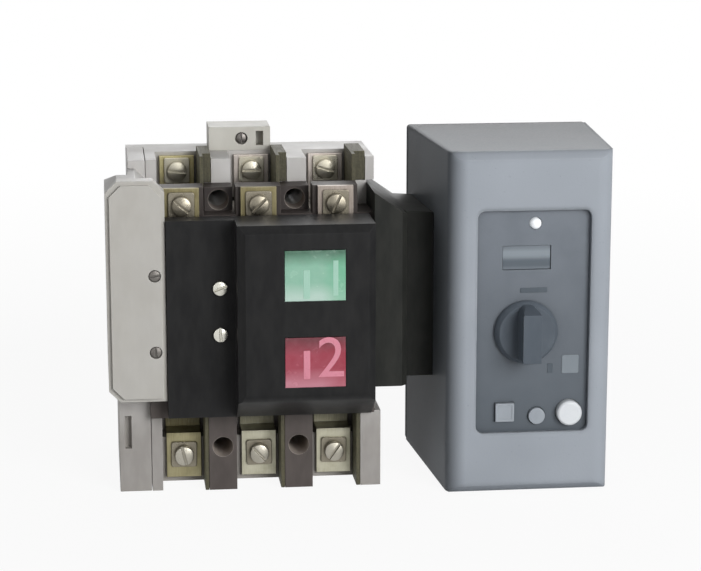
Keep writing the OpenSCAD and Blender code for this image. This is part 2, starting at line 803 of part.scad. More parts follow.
module side_cover()
    color("#c4c2ba")
        difference() {
            union() {
                outline([housing_d, side_cover_d - 2])
                    side_shape([side_x0, side_cover_x1], side_mid_z, side_cut);
                outline([housing_d, side_cover_d])
                    side_shape([side_x0 + 2, side_cover_x1 - 2],
                        [side_mid_z[0] + 2, side_mid_z[1] - 2], side_cut);
            }
            outline([housing_d - over, side_cover_d - side_wall])
                side_shape([side_x0 + side_wall, housing_x0 - 1.5],
                    [side_mid_z[0] + side_wall, side_mid_z[1] - side_wall],
                    side_cut - 2);
            for (z = side_screw_z) {
                peg(side_screw_x, z, cover_screw_r + fit,
                    [housing_d - over, side_cover_d + over], small_fn);
                peg(side_screw_x, z, side_head_r + fit,
                    [side_cover_d - 2, side_cover_d + over], small_fn);
            }
        }
side_head_r = 3;

module side_cover_screws()
    color("#55524f")
        for (z = side_screw_z)
            slotted_screw(side_screw_x, z, side_cover_d - 2, cover_screw_r,
                side_head_r, 1.8, side_cover_d - 2 - housing_d + screw_hole_l - 1);

// The cam's radius rises evenly with the angle, from straight up to the rear
function cam_radius(a) =
    a < 0 ? cam_low
    : a < 2 * half_throw + 15 ? cam_low + cam_rise * a / (2 * half_throw)
    : cam_low;

module aux_cam()
    color("#e8e2c8")
        difference() {
            translate([0, -shaft_d, shaft_z]) rotate([90, 0, 90])
                translate([0, 0, cam_x[0]]) linear_extrude(cam_x[1] - cam_x[0])
                    polygon([for (a = [-180 : 5 : 175])
                        cam_radius(a) * [sin(a), cos(a)]]);
            axle([cam_x[0] - over, cam_x[1] + over], shaft_d, shaft_z, journal_r);
        }

plunger_x = (cam_x[0] + cam_x[1]) / 2;
plunger_z = shaft_z + cam_low + plunger_gap;
aux_z0 = shaft_z + cam_low + cam_rise + 2;
aux_bore_l = 11;

module plunger_rod(r, z)
    translate([plunger_x, -shaft_d, z[0]])
        cylinder(r = r, h = z[1] - z[0], $fn = small_fn);

module aux_switch()
    color("#303236")
        difference() {
            block([side_x0 + side_wall, plunger_x + 5],
                [shaft_d - 10, shaft_d + 10], [aux_z0, aux_z0 + 20]);
            plunger_rod(plunger_r + 0.08, [aux_z0 - over, aux_z0 + aux_bore_l]);
        }

module aux_plunger()
    color("#b5342c")
        plunger_rod(plunger_r, [plunger_z, aux_z0 + aux_bore_l - cam_rise - 1]);

// --------------------------------------------------------- control terminals

control_x = [-23, 11];
control_h = 13;
control_t = 24;
control_screw_x = -5;

control_face = 28;
control_z = base_top + control_h / 2;

module control_block()
    color("#aeb0aa")
        difference() {
            block(control_x, [control_face - control_t, control_face],
                [base_top, base_top + control_h]);
            peg(control_screw_x, control_z, 3.4,
                [control_face - 3, control_face + over], small_fn);
            peg(control_screw_x, control_z, cover_screw_hole,
                [control_face - control_t + 4, control_face + over], small_fn);
            block([control_screw_x + 8, control_screw_x + 12],
                [control_face - 8, control_face + over],
                [control_z - 4, control_z + 4]);
        }

module control_block_screw()
    color("#55524f")
        slotted_screw(control_screw_x, control_z, control_face - 3, cover_screw_r, 3,
            1.8, control_t - 8);

// -------------------------------------------------------------- coupling

// Where the operator case's left flank lies at a depth
function flank(d) =
    op_x - op_rear_w / 2 + (op_rear_w - op_front_w) / 2 * d / op_d;

coupling_d = 72;
coupling_r = 11;
coupling_step_x = housing_x1 + 18;
coupling_z = [cover_bottom + 11, cover_top - 3];
coupling_top = coupling_z[1] + 14;

module coupling_housing()
    color("#454843")
        difference() {
            intersection() {
                translate([0, 0, base_bottom]) linear_extrude(base_top - base_bottom)
                    mirror([0, 1]) polygon([[housing_x1, base_t + 2], [flank(base_t + 2), base_t + 2],
                        [flank(coupling_d), coupling_d],
                        [coupling_step_x + 2, coupling_d],
                        [coupling_step_x, coupling_d + 2],
                        [coupling_step_x, housing_d - 3],
                        [coupling_step_x - 3, housing_d], [housing_x1, housing_d]]);
                outline([0, housing_d])
                    polygon([[housing_x1, coupling_z[0]], [op_x, coupling_z[0]],
                        [op_x, coupling_z[1] - 4], [coupling_step_x + 2, coupling_z[1]],
                        [housing_x1, coupling_top]]);
            }
            axle([housing_x1 + cover_wall, op_x], shaft_d, shaft_z, coupling_r);
            axle([housing_x1 - over, op_x], shaft_d, shaft_z, journal_r + 1.5);
        }

module drive_coupling()
    color(steel)
        on_shaft(-half_throw)
            difference() {
                axle([shaft_x1 - 8, shaft_x1 + 10], shaft_d, shaft_z, 8.5);
                square_bar([shaft_x1 - 9, shaft_x1 + 11], coupling_sq);
            }

// ------------------------------------------------------------------ gears

// An involute tooth's flank, from the base circle out to the tip
function involute(rb, t) =
    rb * [cos(t) + t * PI / 180 * sin(t), sin(t) - t * PI / 180 * cos(t)];
function roll_at(rb, r) = r <= rb ? 0 : sqrt(pow(r / rb, 2) - 1) * 180 / PI;
function polar_angle(p) = atan2(p[1], p[0]);
function turned(p, a) = [p[0] * cos(a) - p[1] * sin(a), p[0] * sin(a) + p[1] * cos(a)];

// A whole toothed outline, with a tooth on the first axis
function gear_points(n, play) =
    let (rp = gear_m * n / 2, rb = rp * cos(pressure), ra = rp + gear_m * addendum,
        rf = rp - gear_m * dedendum, steps = 5,
        half = 90 / n - play / rp * 90 / PI,
        at_pitch = polar_angle(involute(rb, roll_at(rb, rp))),
        flank_points = [for (i = [0 : steps])
            turned(involute(rb, roll_at(rb, max(rb, rf) + (ra - max(rb, rf)) * i / steps)),
                -half - at_pitch)],
        root = rf * [cos(polar_angle(flank_points[0])), sin(polar_angle(flank_points[0]))],
        side = concat([root], flank_points))
    [for (k = [0 : n - 1], s = [0, 1], i = [0 : steps + 1])
        let (p = s == 0 ? side[i] : [side[steps + 1 - i][0], -side[steps + 1 - i][1]])
            turned(p, 360 * k / n)];

// A toothed wheel on an axis along the main shaft's direction
module toothed(n, x, z, turn)
    translate([x[0], -shaft_d, z]) rotate([90, 0, 90]) rotate([0, 0, turn])
        linear_extrude(x[1] - x[0]) polygon(gear_points(n, tooth_play));

module drive_gear()
    color("#d9c48a")
        difference() {
            union() {
                toothed(gear_n, [gear_x, gear_x + gear_t], shaft_z, -90);
                axle([gear_hub_x, plate_x - 0.5], shaft_d, shaft_z, gear_hub_r);
                axle([shaft_x1 + 12, plate_x + plate_t], shaft_d, shaft_z, journal_r);
                on_shaft(-half_throw)
                    square_bar([shaft_x1 + fit, shaft_x1 + 13], coupling_sq);
            }
            for (a = [0 : 60 : 300])
                axle([gear_x - over, gear_x + gear_t + over],
                    shaft_d + (gear_pitch_r / 2 + 4.5) * cos(a),
                    shaft_z + (gear_pitch_r / 2 + 4.5) * sin(a), 5);
        }

module motor_pinion()
    color(steel) {
        toothed(pinion_n, [gear_x - 0.5, gear_x + gear_t + 0.5], pinion_z,
            90 + 180 / pinion_n);
        axle([gear_x + gear_t + 0.4, plate_x + plate_t + 12], shaft_d, pinion_z,
            motor_shaft_r);
    }

module gear_plate()
    color("#b9bcc0")
        difference() {
            union() {
                profile([plate_x, plate_x + plate_t])
                    polygon([[back_t, pinion_z - 12], [shaft_d + 18, pinion_z - 12],
                        [shaft_d + 20, pinion_z + 8], [shaft_d + 12, shaft_z + 16],
                        [back_t, shaft_z + 16]]);
                block([plate_x, plate_x + plate_foot], [back_t, back_t + plate_t],
                    [pinion_z - 12, shaft_z + 16]);
            }
            axle([plate_x - over, plate_x + plate_t + over], shaft_d, shaft_z,
                journal_r + journal_gap);
            axle([plate_x - over, plate_x + plate_t + over], shaft_d, pinion_z,
                motor_shaft_r + 1);
            for (z = plate_screw_z)
                peg(plate_screw_x, z, cover_screw_hole, [0, back_t + plate_t + over],
                    small_fn);
        }
plate_foot = 14;
plate_screw_x = plate_x + plate_foot - 5;
plate_screw_z = [pinion_z - 7, shaft_z + 11];
gearbox_r = 18;
gearbox_x1 = plate_x + 21;
motor_r = 15.5;
motor_x1 = gearbox_x1 + 37;
motor_boss = [4, 5];   // how far it stands out, and its radius

module gear_motor()
    color("#8b8e91")
        difference() {
            union() {
                axle([plate_x + plate_t, gearbox_x1], shaft_d, pinion_z, gearbox_r);
                axle([gearbox_x1 - over, motor_x1], shaft_d, pinion_z, motor_r);
                axle([motor_x1 - over, motor_x1 + motor_boss[0]], shaft_d, pinion_z,
                    motor_boss[1]);
            }
            axle([plate_x, plate_x + plate_t + 13], shaft_d, pinion_z,
                motor_shaft_r + 0.06);
        }

// --------------------------------------------------------------- operator

// The case's plan: a taper towards the front, whose corners are rounded
function case_plan(inset, d, r) =
    let (left = flank(d[1] - r) + inset + r, right = 2 * op_x - left)
    concat([[2 * op_x - flank(d[0]) - inset, d[0]]],
        arc([right, d[1] - r], r, 0), arc([left, d[1] - r], r, 90),
        [[flank(d[0]) + inset, d[0]]]);

// The case's tapered form, with an inset that makes the inside from the outside
module case_form(inset, d, edge)
    intersection() {
        translate([0, 0, base_bottom + inset]) linear_extrude(op_h - 2 * inset)
            mirror([0, 1])
                polygon(case_plan(inset, d, case_round - inset));
        profile([op_x - op_rear_w, op_x + op_rear_w])
            polygon([[d[0], base_bottom + inset], [d[1] - edge, base_bottom + inset],
                [d[1], base_bottom + inset + edge], [d[1], op_top - inset - edge],
                [d[1] - edge, op_top - inset], [d[0], op_top - inset]]);
    }

case_edge = 4;
case_round = 9;

module operator_case()
    color(case_grey)
        difference() {
            union() {
                difference() {
                    case_form(0, [back_t, op_d], case_edge);
                    case_form(op_wall, [back_t - over, op_d - op_front_wall],
                        case_edge - 1);
                }
                for (sx = [-1, 1], sz = [-1, 1])
                    intersection() {
                        case_form(op_wall / 2, [back_t, op_d - over], case_edge);
                        peg(op_x + sx * case_screw[0], op_z + sz * case_screw[1], 5.5,
                            [back_t, back_t + 20], small_fn);
                    }
            }
            outline([op_d - op_front_wall - over, op_d + over])
                translate([facia_x, facia_z]) rounded_rect(facia_w, facia_h, 4);
            for (sx = [-1, 1], sz = [-1, 1])
                peg(op_x + sx * case_screw[0], op_z + sz * case_screw[1],
                    cover_screw_hole, [0, back_t + 16], small_fn);
            axle([flank(0) - over, op_x - 20], shaft_d, shaft_z, journal_r + 1.5);
            block([plug_x - plug_size[0] / 2 - slip, plug_x + plug_size[0] / 2 + slip],
                [plug_d - plug_size[1] / 2 - slip, plug_d + plug_size[1] / 2 + slip],
                [base_bottom - over, base_bottom + op_wall + over]);
        }

module operator_back()
    color("#8a9098")
        difference() {
            union() {
                outline([0, back_t])
                    translate([op_x, op_z]) rounded_rect(op_rear_w, op_h, 2);
                for (sx = [-1, 1], sz = [-1, 1])
                    peg(op_x + sx * insert_pos[0], op_z + sz * insert_pos[1], 5,
                        [back_t - over, back_t + insert_l], small_fn);
            }
            for (sx = [-1, 1], sz = [-1, 1]) {
                peg(op_x + sx * insert_pos[0], op_z + sz * insert_pos[1], insert_r,
                    [-over, back_t + insert_l + over], small_fn);
                peg(op_x + sx * case_screw[0], op_z + sz * case_screw[1],
                    cover_screw_hole, [-over, back_t + over], small_fn);
                peg(op_x + sx * case_screw[0], op_z + sz * case_screw[1],
                    case_head_r + fit, [-over, back_t - 1], small_fn);
            }
            for (z = plate_screw_z)
                peg(plate_screw_x, z, cover_screw_hole, [-over, back_t + over], small_fn);
        }
insert_l = 10;
case_head_r = 3;

module operator_screws()
    color("#55524f") {
        for (sx = [-1, 1], sz = [-1, 1]) {
            x = op_x + sx * case_screw[0];
            z = op_z + sz * case_screw[1];
            peg(x, z, case_head_r, [0.2, back_t - 1], small_fn);
            peg(x, z, cover_screw_r, [back_t - 1 - 0.01, back_t + 15], small_fn);
        }
        for (z = plate_screw_z)
            slotted_screw(plate_screw_x, z, back_t + plate_t, cover_screw_r, 2.8, 2,
                back_t + plate_t - 0.5);
    }

module control_plug()
    color(black)
        difference() {
            block([plug_x - plug_size[0] / 2, plug_x + plug_size[0] / 2],
                [plug_d - plug_size[1] / 2, plug_d + plug_size[1] / 2],
                [base_bottom + 0.6, base_bottom + 14]);
            for (i = [-4 : 4])
                block([plug_x + i * 5.5 - 1.8, plug_x + i * 5.5 + 1.8],
                    [plug_d - 7, plug_d + 7], [base_bottom, base_bottom + 9]);
        }

facia_back = facia_face - facia_t;
board_front = facia_back - board_gap;
board_d = board_front - board_t;
pillar = [facia_w / 2 - 2.5, facia_h / 2 - 2.5];
pillar_r = 2.5;

module facia()
    color(facia_grey)
        difference() {
            union() {
                outline([facia_back, facia_face])
                    translate([facia_x, facia_z])
                        rounded_rect(facia_w + 5, facia_h + 5, 4);
                for (sx = [-1, 1], sz = [-1, 1])
                    peg(facia_x + sx * pillar[0], facia_z + sz * pillar[1], pillar_r,
                        [board_front, facia_back + over], small_fn);
            }
            peg(lamp_pos[0], lamp_pos[1], lamp_r + fit,
                [facia_back - over, facia_face + over], small_fn);
            block([display_pos[0] - display_size[0] / 2, display_pos[0] + display_size[0] / 2],
                [facia_back - over, facia_face + over],
                [display_pos[1] - display_size[1] / 2, display_pos[1] + display_size[1] / 2]);
            peg(knob_pos[0], knob_pos[1], knob_shaft_r + 0.08,
                [facia_back - over, facia_face + over]);
            peg(test_pos[0], test_pos[1], test_r + fit,
                [facia_back - over, facia_face + over]);
            peg(small_pos[0], small_pos[1], small_r + fit,
                [facia_back - over, facia_face + over], small_fn);
            block([square_pos[0] - key_w / 2 - fit, square_pos[0] + key_w / 2 + fit],
                [facia_back - over, facia_face + over],
                [square_pos[1] - key_w / 2 - fit, square_pos[1] + key_w / 2 + fit]);
        }
lamp_r = 3;

module display_window()
    color("#4d5862") {
        w = display_size[0] / 2;
        h = display_size[1] / 2;
        block([display_pos[0] - w + slip, display_pos[0] + w - slip],
            [facia_back - over, facia_face - 0.8],
            [display_pos[1] - h + slip, display_pos[1] + h - slip]);
        block([display_pos[0] - w - 1.5, display_pos[0] + w + 1.5],
            [facia_back - 1.5, facia_back],
            [display_pos[1] - h - 1.5, display_pos[1] + h + 1.5]);
    }

module status_lamp()
    color("white") {
        peg(lamp_pos[0], lamp_pos[1], lamp_r, [board_front, facia_face], small_fn);
        translate([lamp_pos[0], -facia_face, lamp_pos[1]]) sphere(lamp_r, $fn = small_fn);
    }

knob_base = facia_face + fit;

module selector_knob()
    color("#3f464d") {
        peg(knob_pos[0], knob_pos[1], knob_r, [knob_base, knob_base + 2], round_fn);
        translate([knob_pos[0], -knob_base - 2, knob_pos[1]]) rotate([90, 0, 0])
            cylinder(r1 = knob_r, r2 = knob_r - 2, h = knob_disc_t - 2, $fn = round_fn);
        intersection() {
            outline([knob_base + 1, knob_base + knob_disc_t + grip_h])
                translate(knob_pos) rounded_rect(10, 2 * knob_r - 3, 4);
            profile([knob_pos[0] - knob_r, knob_pos[0] + knob_r])
                polygon([[knob_base, knob_pos[1] - knob_r], [knob_base + knob_disc_t, knob_pos[1] - knob_r],
                    [knob_base + knob_disc_t + grip_h, knob_pos[1] - knob_r + 4],
                    [knob_base + knob_disc_t + grip_h, knob_pos[1] + knob_r - 4],
                    [knob_base + knob_disc_t, knob_pos[1] + knob_r], [knob_base, knob_pos[1] + knob_r]]);
        }
        peg(knob_pos[0], knob_pos[1], knob_shaft_r,
            [board_front + 2, knob_base + over]);
    }

module selector_switch()
    color("#26282b")
        difference() {
            block([knob_pos[0] - 12, knob_pos[0] + 12],
                [board_front, facia_back - fit],
                [knob_pos[1] - 12, knob_pos[1] + 12]);
            peg(knob_pos[0], knob_pos[1], knob_shaft_r + 0.08,
                [board_front + 1.5, facia_back + over]);
        }

// A push button: a cap through the facia, a flange that holds it in, a stem
module button_stem(p, flange, travel) {
    peg(p[0], p[1], flange, [facia_back - slip - 1.2, facia_back - slip], small_fn);
    peg(p[0], p[1], 1.8, [board_front + tact_h + travel + slip, facia_back - 1], small_fn);
}
tact_h = 3.2;

module test_button()
    color("#e9e9ea") {
        peg(test_pos[0], test_pos[1], test_r, [facia_back - 1, facia_face + 3.5]);
        translate([test_pos[0], -facia_face - 3.5, test_pos[1]]) rotate([90, 0, 0])
            cylinder(r1 = test_r, r2 = test_r - 1, h = 1, $fn = round_fn);
        button_stem(test_pos, test_r + 0.8, test_travel);
    }

module square_key()
    color("#c9ccce") {
        block([square_pos[0] - key_w / 2, square_pos[0] + key_w / 2],
            [facia_back - 1, facia_face + key_travel + 0.5],
            [square_pos[1] - key_w / 2, square_pos[1] + key_w / 2]);
        button_stem(square_pos, key_w * 0.71 + 0.8, key_travel);
    }

module small_key()
    color("#c9ccce") {
        peg(small_pos[0], small_pos[1], small_r,
            [facia_back - 1, facia_face + key_travel + 0.5]);
        button_stem(small_pos, small_r + 1.2, key_travel);
    }

module control_board()
    color("#2f6b46") {
        block([facia_x - facia_w / 2, facia_x + facia_w / 2], [board_d, board_front],
            [facia_z - facia_h / 2, facia_z + facia_h / 2]);
        for (p = [test_pos, square_pos, small_pos])
            block([p[0] - 3, p[0] + 3], [board_front - 0.1, board_front + tact_h],
                [p[1] - 3, p[1] + 3]);
        block([display_pos[0] - 14, display_pos[0] + 14],
            [board_front - 0.1, facia_back - 2],
            [display_pos[1] - 7, display_pos[1] + 7]);
        for (i = [0 : 2])
            block([facia_x - 24 + i * 17, facia_x - 12 + i * 17],
                [board_d - 9, board_d + 0.1], [facia_z + 10, facia_z + 34]);
    }

core_size = [44, 28, 36];   // the iron core: width, depth, height
core_z = facia_z + 52;
coil_proud = 10;
module transformer()
    color("#6f6a62") {
        core = [op_x - core_size[0] / 2, op_x + core_size[0] / 2];
        z = [core_z - core_size[2] / 2, core_z + core_size[2] / 2];
        block(core, [back_t, back_t + core_size[1]], z);
        color("#b86a3a")
            block([core[0] + 8, core[1] - 8], [back_t, back_t + core_size[1] + coil_proud],
                [z[0] + 6, z[1] - 6]);
    }

// ------------------------------------------------------------------ nodes

rear_base();
side_housing();
side_cover();
side_cover_screws();
contact_housing();
phase_walls();
front_cover();
front_cover_screws();
upper_window();
lower_window();
indicator_backing();
position_flag();
flag_carriage();
source_1_terminal(poles[0]);  // source_1_terminal_a
source_1_terminal(poles[1]);  // source_1_terminal_b
source_1_terminal(poles[2]);  // source_1_terminal_c
source_2_terminal(poles[0]);  // source_2_terminal_a
source_2_terminal(poles[1]);  // source_2_terminal_b
source_2_terminal(poles[2]);  // source_2_terminal_c
load_terminal(poles[0]);  // load_terminal_a
load_terminal(poles[1]);  // load_terminal_b
load_terminal(poles[2]);  // load_terminal_c
source_1_screws();
source_2_screws();
load_screws();
phase_barriers();
arc_chute(poles[0]);  // arc_chute_a
arc_chute(poles[1]);  // arc_chute_b
arc_chute(poles[2]);  // arc_chute_c
main_shaft();
moving_contact(poles[0]);  // moving_contact_a
moving_contact(poles[1]);  // moving_contact_b
moving_contact(poles[2]);  // moving_contact_c
indicator_crank();
shaft_bushes();
control_block();
control_block_screw();
aux_cam();
aux_switch();
aux_plunger();
coupling_housing();
drive_coupling();
operator_back();
operator_case();
facia();
display_window();
status_lamp();
selector_knob();
selector_switch();
test_button();
square_key();
small_key();
control_board();
gear_motor();
motor_pinion();
drive_gear();
gear_plate();
transformer();
operator_screws();
control_plug();
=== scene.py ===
# %% [markdown]
# An automatic transfer switch and its motor operator, dressed for the studio.
# The real object is a three-pole changeover switch: a pale moulded base, open
# copper terminals above and below, a black cover with two coloured position
# windows, and beside it a grey metal box that holds the motor, the display and
# the selector. The solids come ready made from a CAD model, so the work here
# is to give every one of them its finish, to add the small turned, pressed and
# printed parts, and to light the result.

# %% Load the solids
import json
import math
import bmesh
import bpy
from mathutils import Matrix, Vector

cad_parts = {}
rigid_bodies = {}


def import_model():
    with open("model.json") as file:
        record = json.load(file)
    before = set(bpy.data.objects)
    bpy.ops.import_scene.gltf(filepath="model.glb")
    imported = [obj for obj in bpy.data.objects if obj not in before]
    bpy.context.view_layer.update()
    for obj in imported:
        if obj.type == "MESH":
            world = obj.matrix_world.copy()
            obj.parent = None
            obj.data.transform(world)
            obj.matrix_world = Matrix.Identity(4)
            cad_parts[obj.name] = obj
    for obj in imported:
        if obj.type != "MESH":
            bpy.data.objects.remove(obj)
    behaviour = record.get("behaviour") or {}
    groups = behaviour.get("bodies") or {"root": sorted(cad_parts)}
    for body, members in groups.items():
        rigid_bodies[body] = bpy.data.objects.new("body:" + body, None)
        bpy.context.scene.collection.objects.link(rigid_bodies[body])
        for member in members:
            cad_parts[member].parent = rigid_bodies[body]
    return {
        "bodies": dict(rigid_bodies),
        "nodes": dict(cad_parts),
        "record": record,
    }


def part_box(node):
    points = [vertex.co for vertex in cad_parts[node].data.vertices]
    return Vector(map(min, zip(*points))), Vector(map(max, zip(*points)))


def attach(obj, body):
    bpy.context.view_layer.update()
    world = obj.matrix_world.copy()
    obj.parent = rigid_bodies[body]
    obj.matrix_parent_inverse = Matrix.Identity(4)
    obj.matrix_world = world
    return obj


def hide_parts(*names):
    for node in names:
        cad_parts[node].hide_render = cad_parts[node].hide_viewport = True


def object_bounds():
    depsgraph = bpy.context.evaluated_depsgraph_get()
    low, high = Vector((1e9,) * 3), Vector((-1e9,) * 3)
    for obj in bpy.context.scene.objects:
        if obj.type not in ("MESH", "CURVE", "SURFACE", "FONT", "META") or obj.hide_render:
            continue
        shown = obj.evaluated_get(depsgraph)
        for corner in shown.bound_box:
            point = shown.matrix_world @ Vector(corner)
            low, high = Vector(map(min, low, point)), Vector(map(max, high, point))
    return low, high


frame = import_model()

# Anything that the start-up scene brought along goes.
keep = set(frame["nodes"].values()) | set(frame["bodies"].values())
for stray in [o for o in bpy.data.objects if o not in keep]:
    bpy.data.objects.remove(stray)
cad_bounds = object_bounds()

# %% [markdown]
# Materials, the world and Geometry Nodes are all trees of nodes, made the same
# way: add a node, set its options, then give each input a value or a link.
# One small helper does all three, and keeps the trees below short.
# Inputs and outputs go by name, or by number where a node has several alike.

# %% A helper for node trees
def put_node(tree, kind, inputs=None, **options):
    """Adds a node with its options, and feeds its inputs with values or sockets."""
    node = tree.nodes.new(kind)
    for key, value in options.items():
        setattr(node, key, value)
    for key, value in (inputs or {}).items():
        if isinstance(value, bpy.types.NodeSocket):
            tree.links.new(value, node.inputs[key])
        else:
            node.inputs[key].default_value = value
    return node


def output(tree, kind, inputs=None, which=0, **options):
    """Adds a node too, and gives back one of its outputs."""
    return put_node(tree, kind, inputs, **options).outputs[which]


def in_scene(name, data):
    """A new object with that data, linked to the scene."""
    made = bpy.data.objects.new(name, data)
    bpy.context.scene.collection.objects.link(made)
    return made


print("node helper ready")

# %% [markdown]
# The camera comes first, because everything else is judged through it. It
# stands a little to the left and above, about 1.2 m away, with a long lens, so
# that the verticals stay nearly parallel. A camera in Blender looks along its
# own -Z, and to_track_quat turns a direction into that attitude. Blender's
# unit is the metre here, and MM turns millimetres into it.

# %% The camera
MM = 0.001
VIEW_TARGET = Vector((52.5, -56.0, 14.0)) * MM
VIEW_AZIMUTH = math.radians(-6.5)
VIEW_ELEVATION = math.radians(12.0)
VIEW_DISTANCE = 1.2375
SENSOR, LENS = 36.0, 115.5
NEAR, FAR = 0.05, 30.0


def looking(azimuth, elevation):
    """The direction in which a camera at that azimuth and elevation looks."""
    return Vector((-math.sin(azimuth) * math.cos(elevation),
                   math.cos(azimuth) * math.cos(elevation), -math.sin(elevation)))


lens_data = bpy.data.cameras.new("studio_camera")
lens_data.sensor_width, lens_data.lens = SENSOR, LENS
lens_data.clip_start, lens_data.clip_end = NEAR, FAR
camera = in_scene("studio_camera", lens_data)
gaze = looking(VIEW_AZIMUTH, VIEW_ELEVATION)
camera.location = VIEW_TARGET - gaze * VIEW_DISTANCE
camera.rotation_euler = gaze.to_track_quat("-Z", "Y").to_euler()
bpy.context.scene.camera = camera
bpy.context.scene.view_settings.view_transform = "Standard"
print("camera at", [round(c, 3) for c in camera.location])

# %% [markdown]
# Three square area lamps stand in for a studio's soft boxes. A point lamp or a
# sun would draw hard shadows, which hide the steps between the terminals. The
# large lamp on the right leaves the left flanks dark. A smaller one on the far
# left opens up the switch's own flank, and one behind keeps the back readable.

# %% The lamps
AIM = Vector((0.05, -0.05, 0.0))
# Each lamp's place and size in metres, and its watts.
LAMPS = {"key_lamp": ((0.75, -1.50, 0.50), 0.9, 21.0),
         "left_lamp": ((-1.20, -1.10, 0.40), 0.6, 2.0),
         "back_lamp": ((0.30, 1.40, 0.60), 0.8, 5.0)}
for name, (place, size, watts) in LAMPS.items():
    box_data = bpy.data.lights.new(name, "AREA")
    box_data.energy, box_data.size = watts, size
    soft_box = in_scene(name, box_data)
    soft_box.location = place
    soft_box.rotation_euler = (AIM - Vector(place)).to_track_quat("-Z", "Y").to_euler()
print(len(LAMPS), "lamps aimed at", AIM[:])

# %% [markdown]
# The world gives the rest of the light. An image of a studio could do it, but
# a plain gradient that grows brighter to the right says clearly where the
# light comes from. Light Path tells the rays apart: the camera, mirrors and
# glass see a pure white background, while the light that falls on the object
# stays at a plain level.

# %% The world
WORLD_LEFT, WORLD_RIGHT = 0.06, 0.32
WORLD_EDGE = 0.8
WORLD_SEEN = 1.0
WHITE = (1, 1, 1, 1)


def seen_rays(tree):
    """1 for the rays that show a background: camera, glossy and transmission."""
    path = put_node(tree, "ShaderNodeLightPath").outputs
    total = path["Is Camera Ray"]
    for ray in ("Is Glossy Ray", "Is Transmission Ray"):
        total = output(tree, "ShaderNodeMath", {0: total, 1: path[ray]}, operation="MAXIMUM")
    return total


world = bpy.data.worlds.new("studio_world")
world.use_nodes = True
bpy.context.scene.world = world
air = world.node_tree
toward = output(air, "ShaderNodeTexCoord", which="Generated")
across = output(air, "ShaderNodeSeparateXYZ", {0: toward}, "X")
level = output(air, "ShaderNodeMapRange", {
    "Value": across, "From Min": -WORLD_EDGE, "From Max": WORLD_EDGE,
    "To Min": WORLD_LEFT, "To Max": WORLD_RIGHT})
soft_air = output(air, "ShaderNodeBackground", {"Color": WHITE, "Strength": level})
white_air = output(air, "ShaderNodeBackground", {"Color": WHITE, "Strength": WORLD_SEEN})
both_airs = output(air, "ShaderNodeMixShader", {0: seen_rays(air), 1: soft_air, 2: white_air})
air.links.new(both_airs, air.nodes["World Output"].inputs["Surface"])
print("world", WORLD_LEFT, "to", WORLD_RIGHT, "on the object,", WORLD_SEEN, "behind it")

# %% [markdown]
# The floor is a plain pale sheet just under the object's feet. For the rays
# that show it, most of its white is its own, and the rest is the light that
# falls on it, so that the object's soft shadow stays. Its own white grows with
# the distance from the object, and no horizon shows where the sheet ends.

# %% The floor
FLOOR_SIZE = 6.0
FLOOR_GAP = 0.0003
FLOOR_OWN_WHITE = 0.92
FLOOR_GREY, FLOOR_PALE = 0.62, 0.95
FADE_START, FADE_END = 0.30, 1.00

floor_mesh = bpy.data.meshes.new("floor")
floor_z = cad_bounds[0].z - FLOOR_GAP
half = FLOOR_SIZE / 2
floor_mesh.from_pydata([(-half, -half, floor_z), (half, -half, floor_z),
                        (half, half, floor_z), (-half, half, floor_z)], [], [(0, 1, 2, 3)])
floor = in_scene("floor", floor_mesh)
paper = bpy.data.materials.new("floor_paper")
paper.use_nodes = True
sheet = paper.node_tree
sheet.nodes.remove(sheet.nodes["Principled BSDF"])
seen = seen_rays(sheet)
pale = output(sheet, "ShaderNodeMapRange", {
    "Value": seen, "To Min": FLOOR_GREY, "To Max": FLOOR_PALE})
lit = output(sheet, "ShaderNodeBsdfDiffuse", {"Color": pale})
own = output(sheet, "ShaderNodeEmission", {"Color": WHITE, "Strength": 1.0})
spot = output(sheet, "ShaderNodeTexCoord", which="Object")
away = output(sheet, "ShaderNodeVectorMath", {0: spot}, "Value", operation="LENGTH")
whiter = output(sheet, "ShaderNodeMapRange", {
    "Value": away, "From Min": FADE_START, "From Max": FADE_END, "To Min": FLOOR_OWN_WHITE})
share = output(sheet, "ShaderNodeMath", {0: seen, 1: whiter}, operation="MULTIPLY")
both = output(sheet, "ShaderNodeMixShader", {0: share, 1: lit, 2: own})
sheet.links.new(both, sheet.nodes["Material Output"].inputs["Surface"])
floor_mesh.materials.append(paper)
print("floor at z", round(floor_z, 4))

# %% [markdown]
# Every finish is a small node tree, and they share a few habits: a colour that
# drifts over the surface, and a grain that catches the light. An image could
# be wrapped round the parts, but solids from CAD carry no UV map. Patterns
# worked out in space need none. They read Object coordinates, and since every
# piece sits at the origin these are metres on the object itself. This class
# adds such nodes from left to right.

# %% Patterns and colours
def tone(screen):
    """A screen colour, such as 0xcbc9c7, as the linear colour that a shader takes."""
    linear = [c / 3294.6 if c <= 10 else ((c / 255 + 0.055) / 1.055) ** 2.4
              for c in screen.to_bytes(3, "big")]
    return (*linear, 1.0)


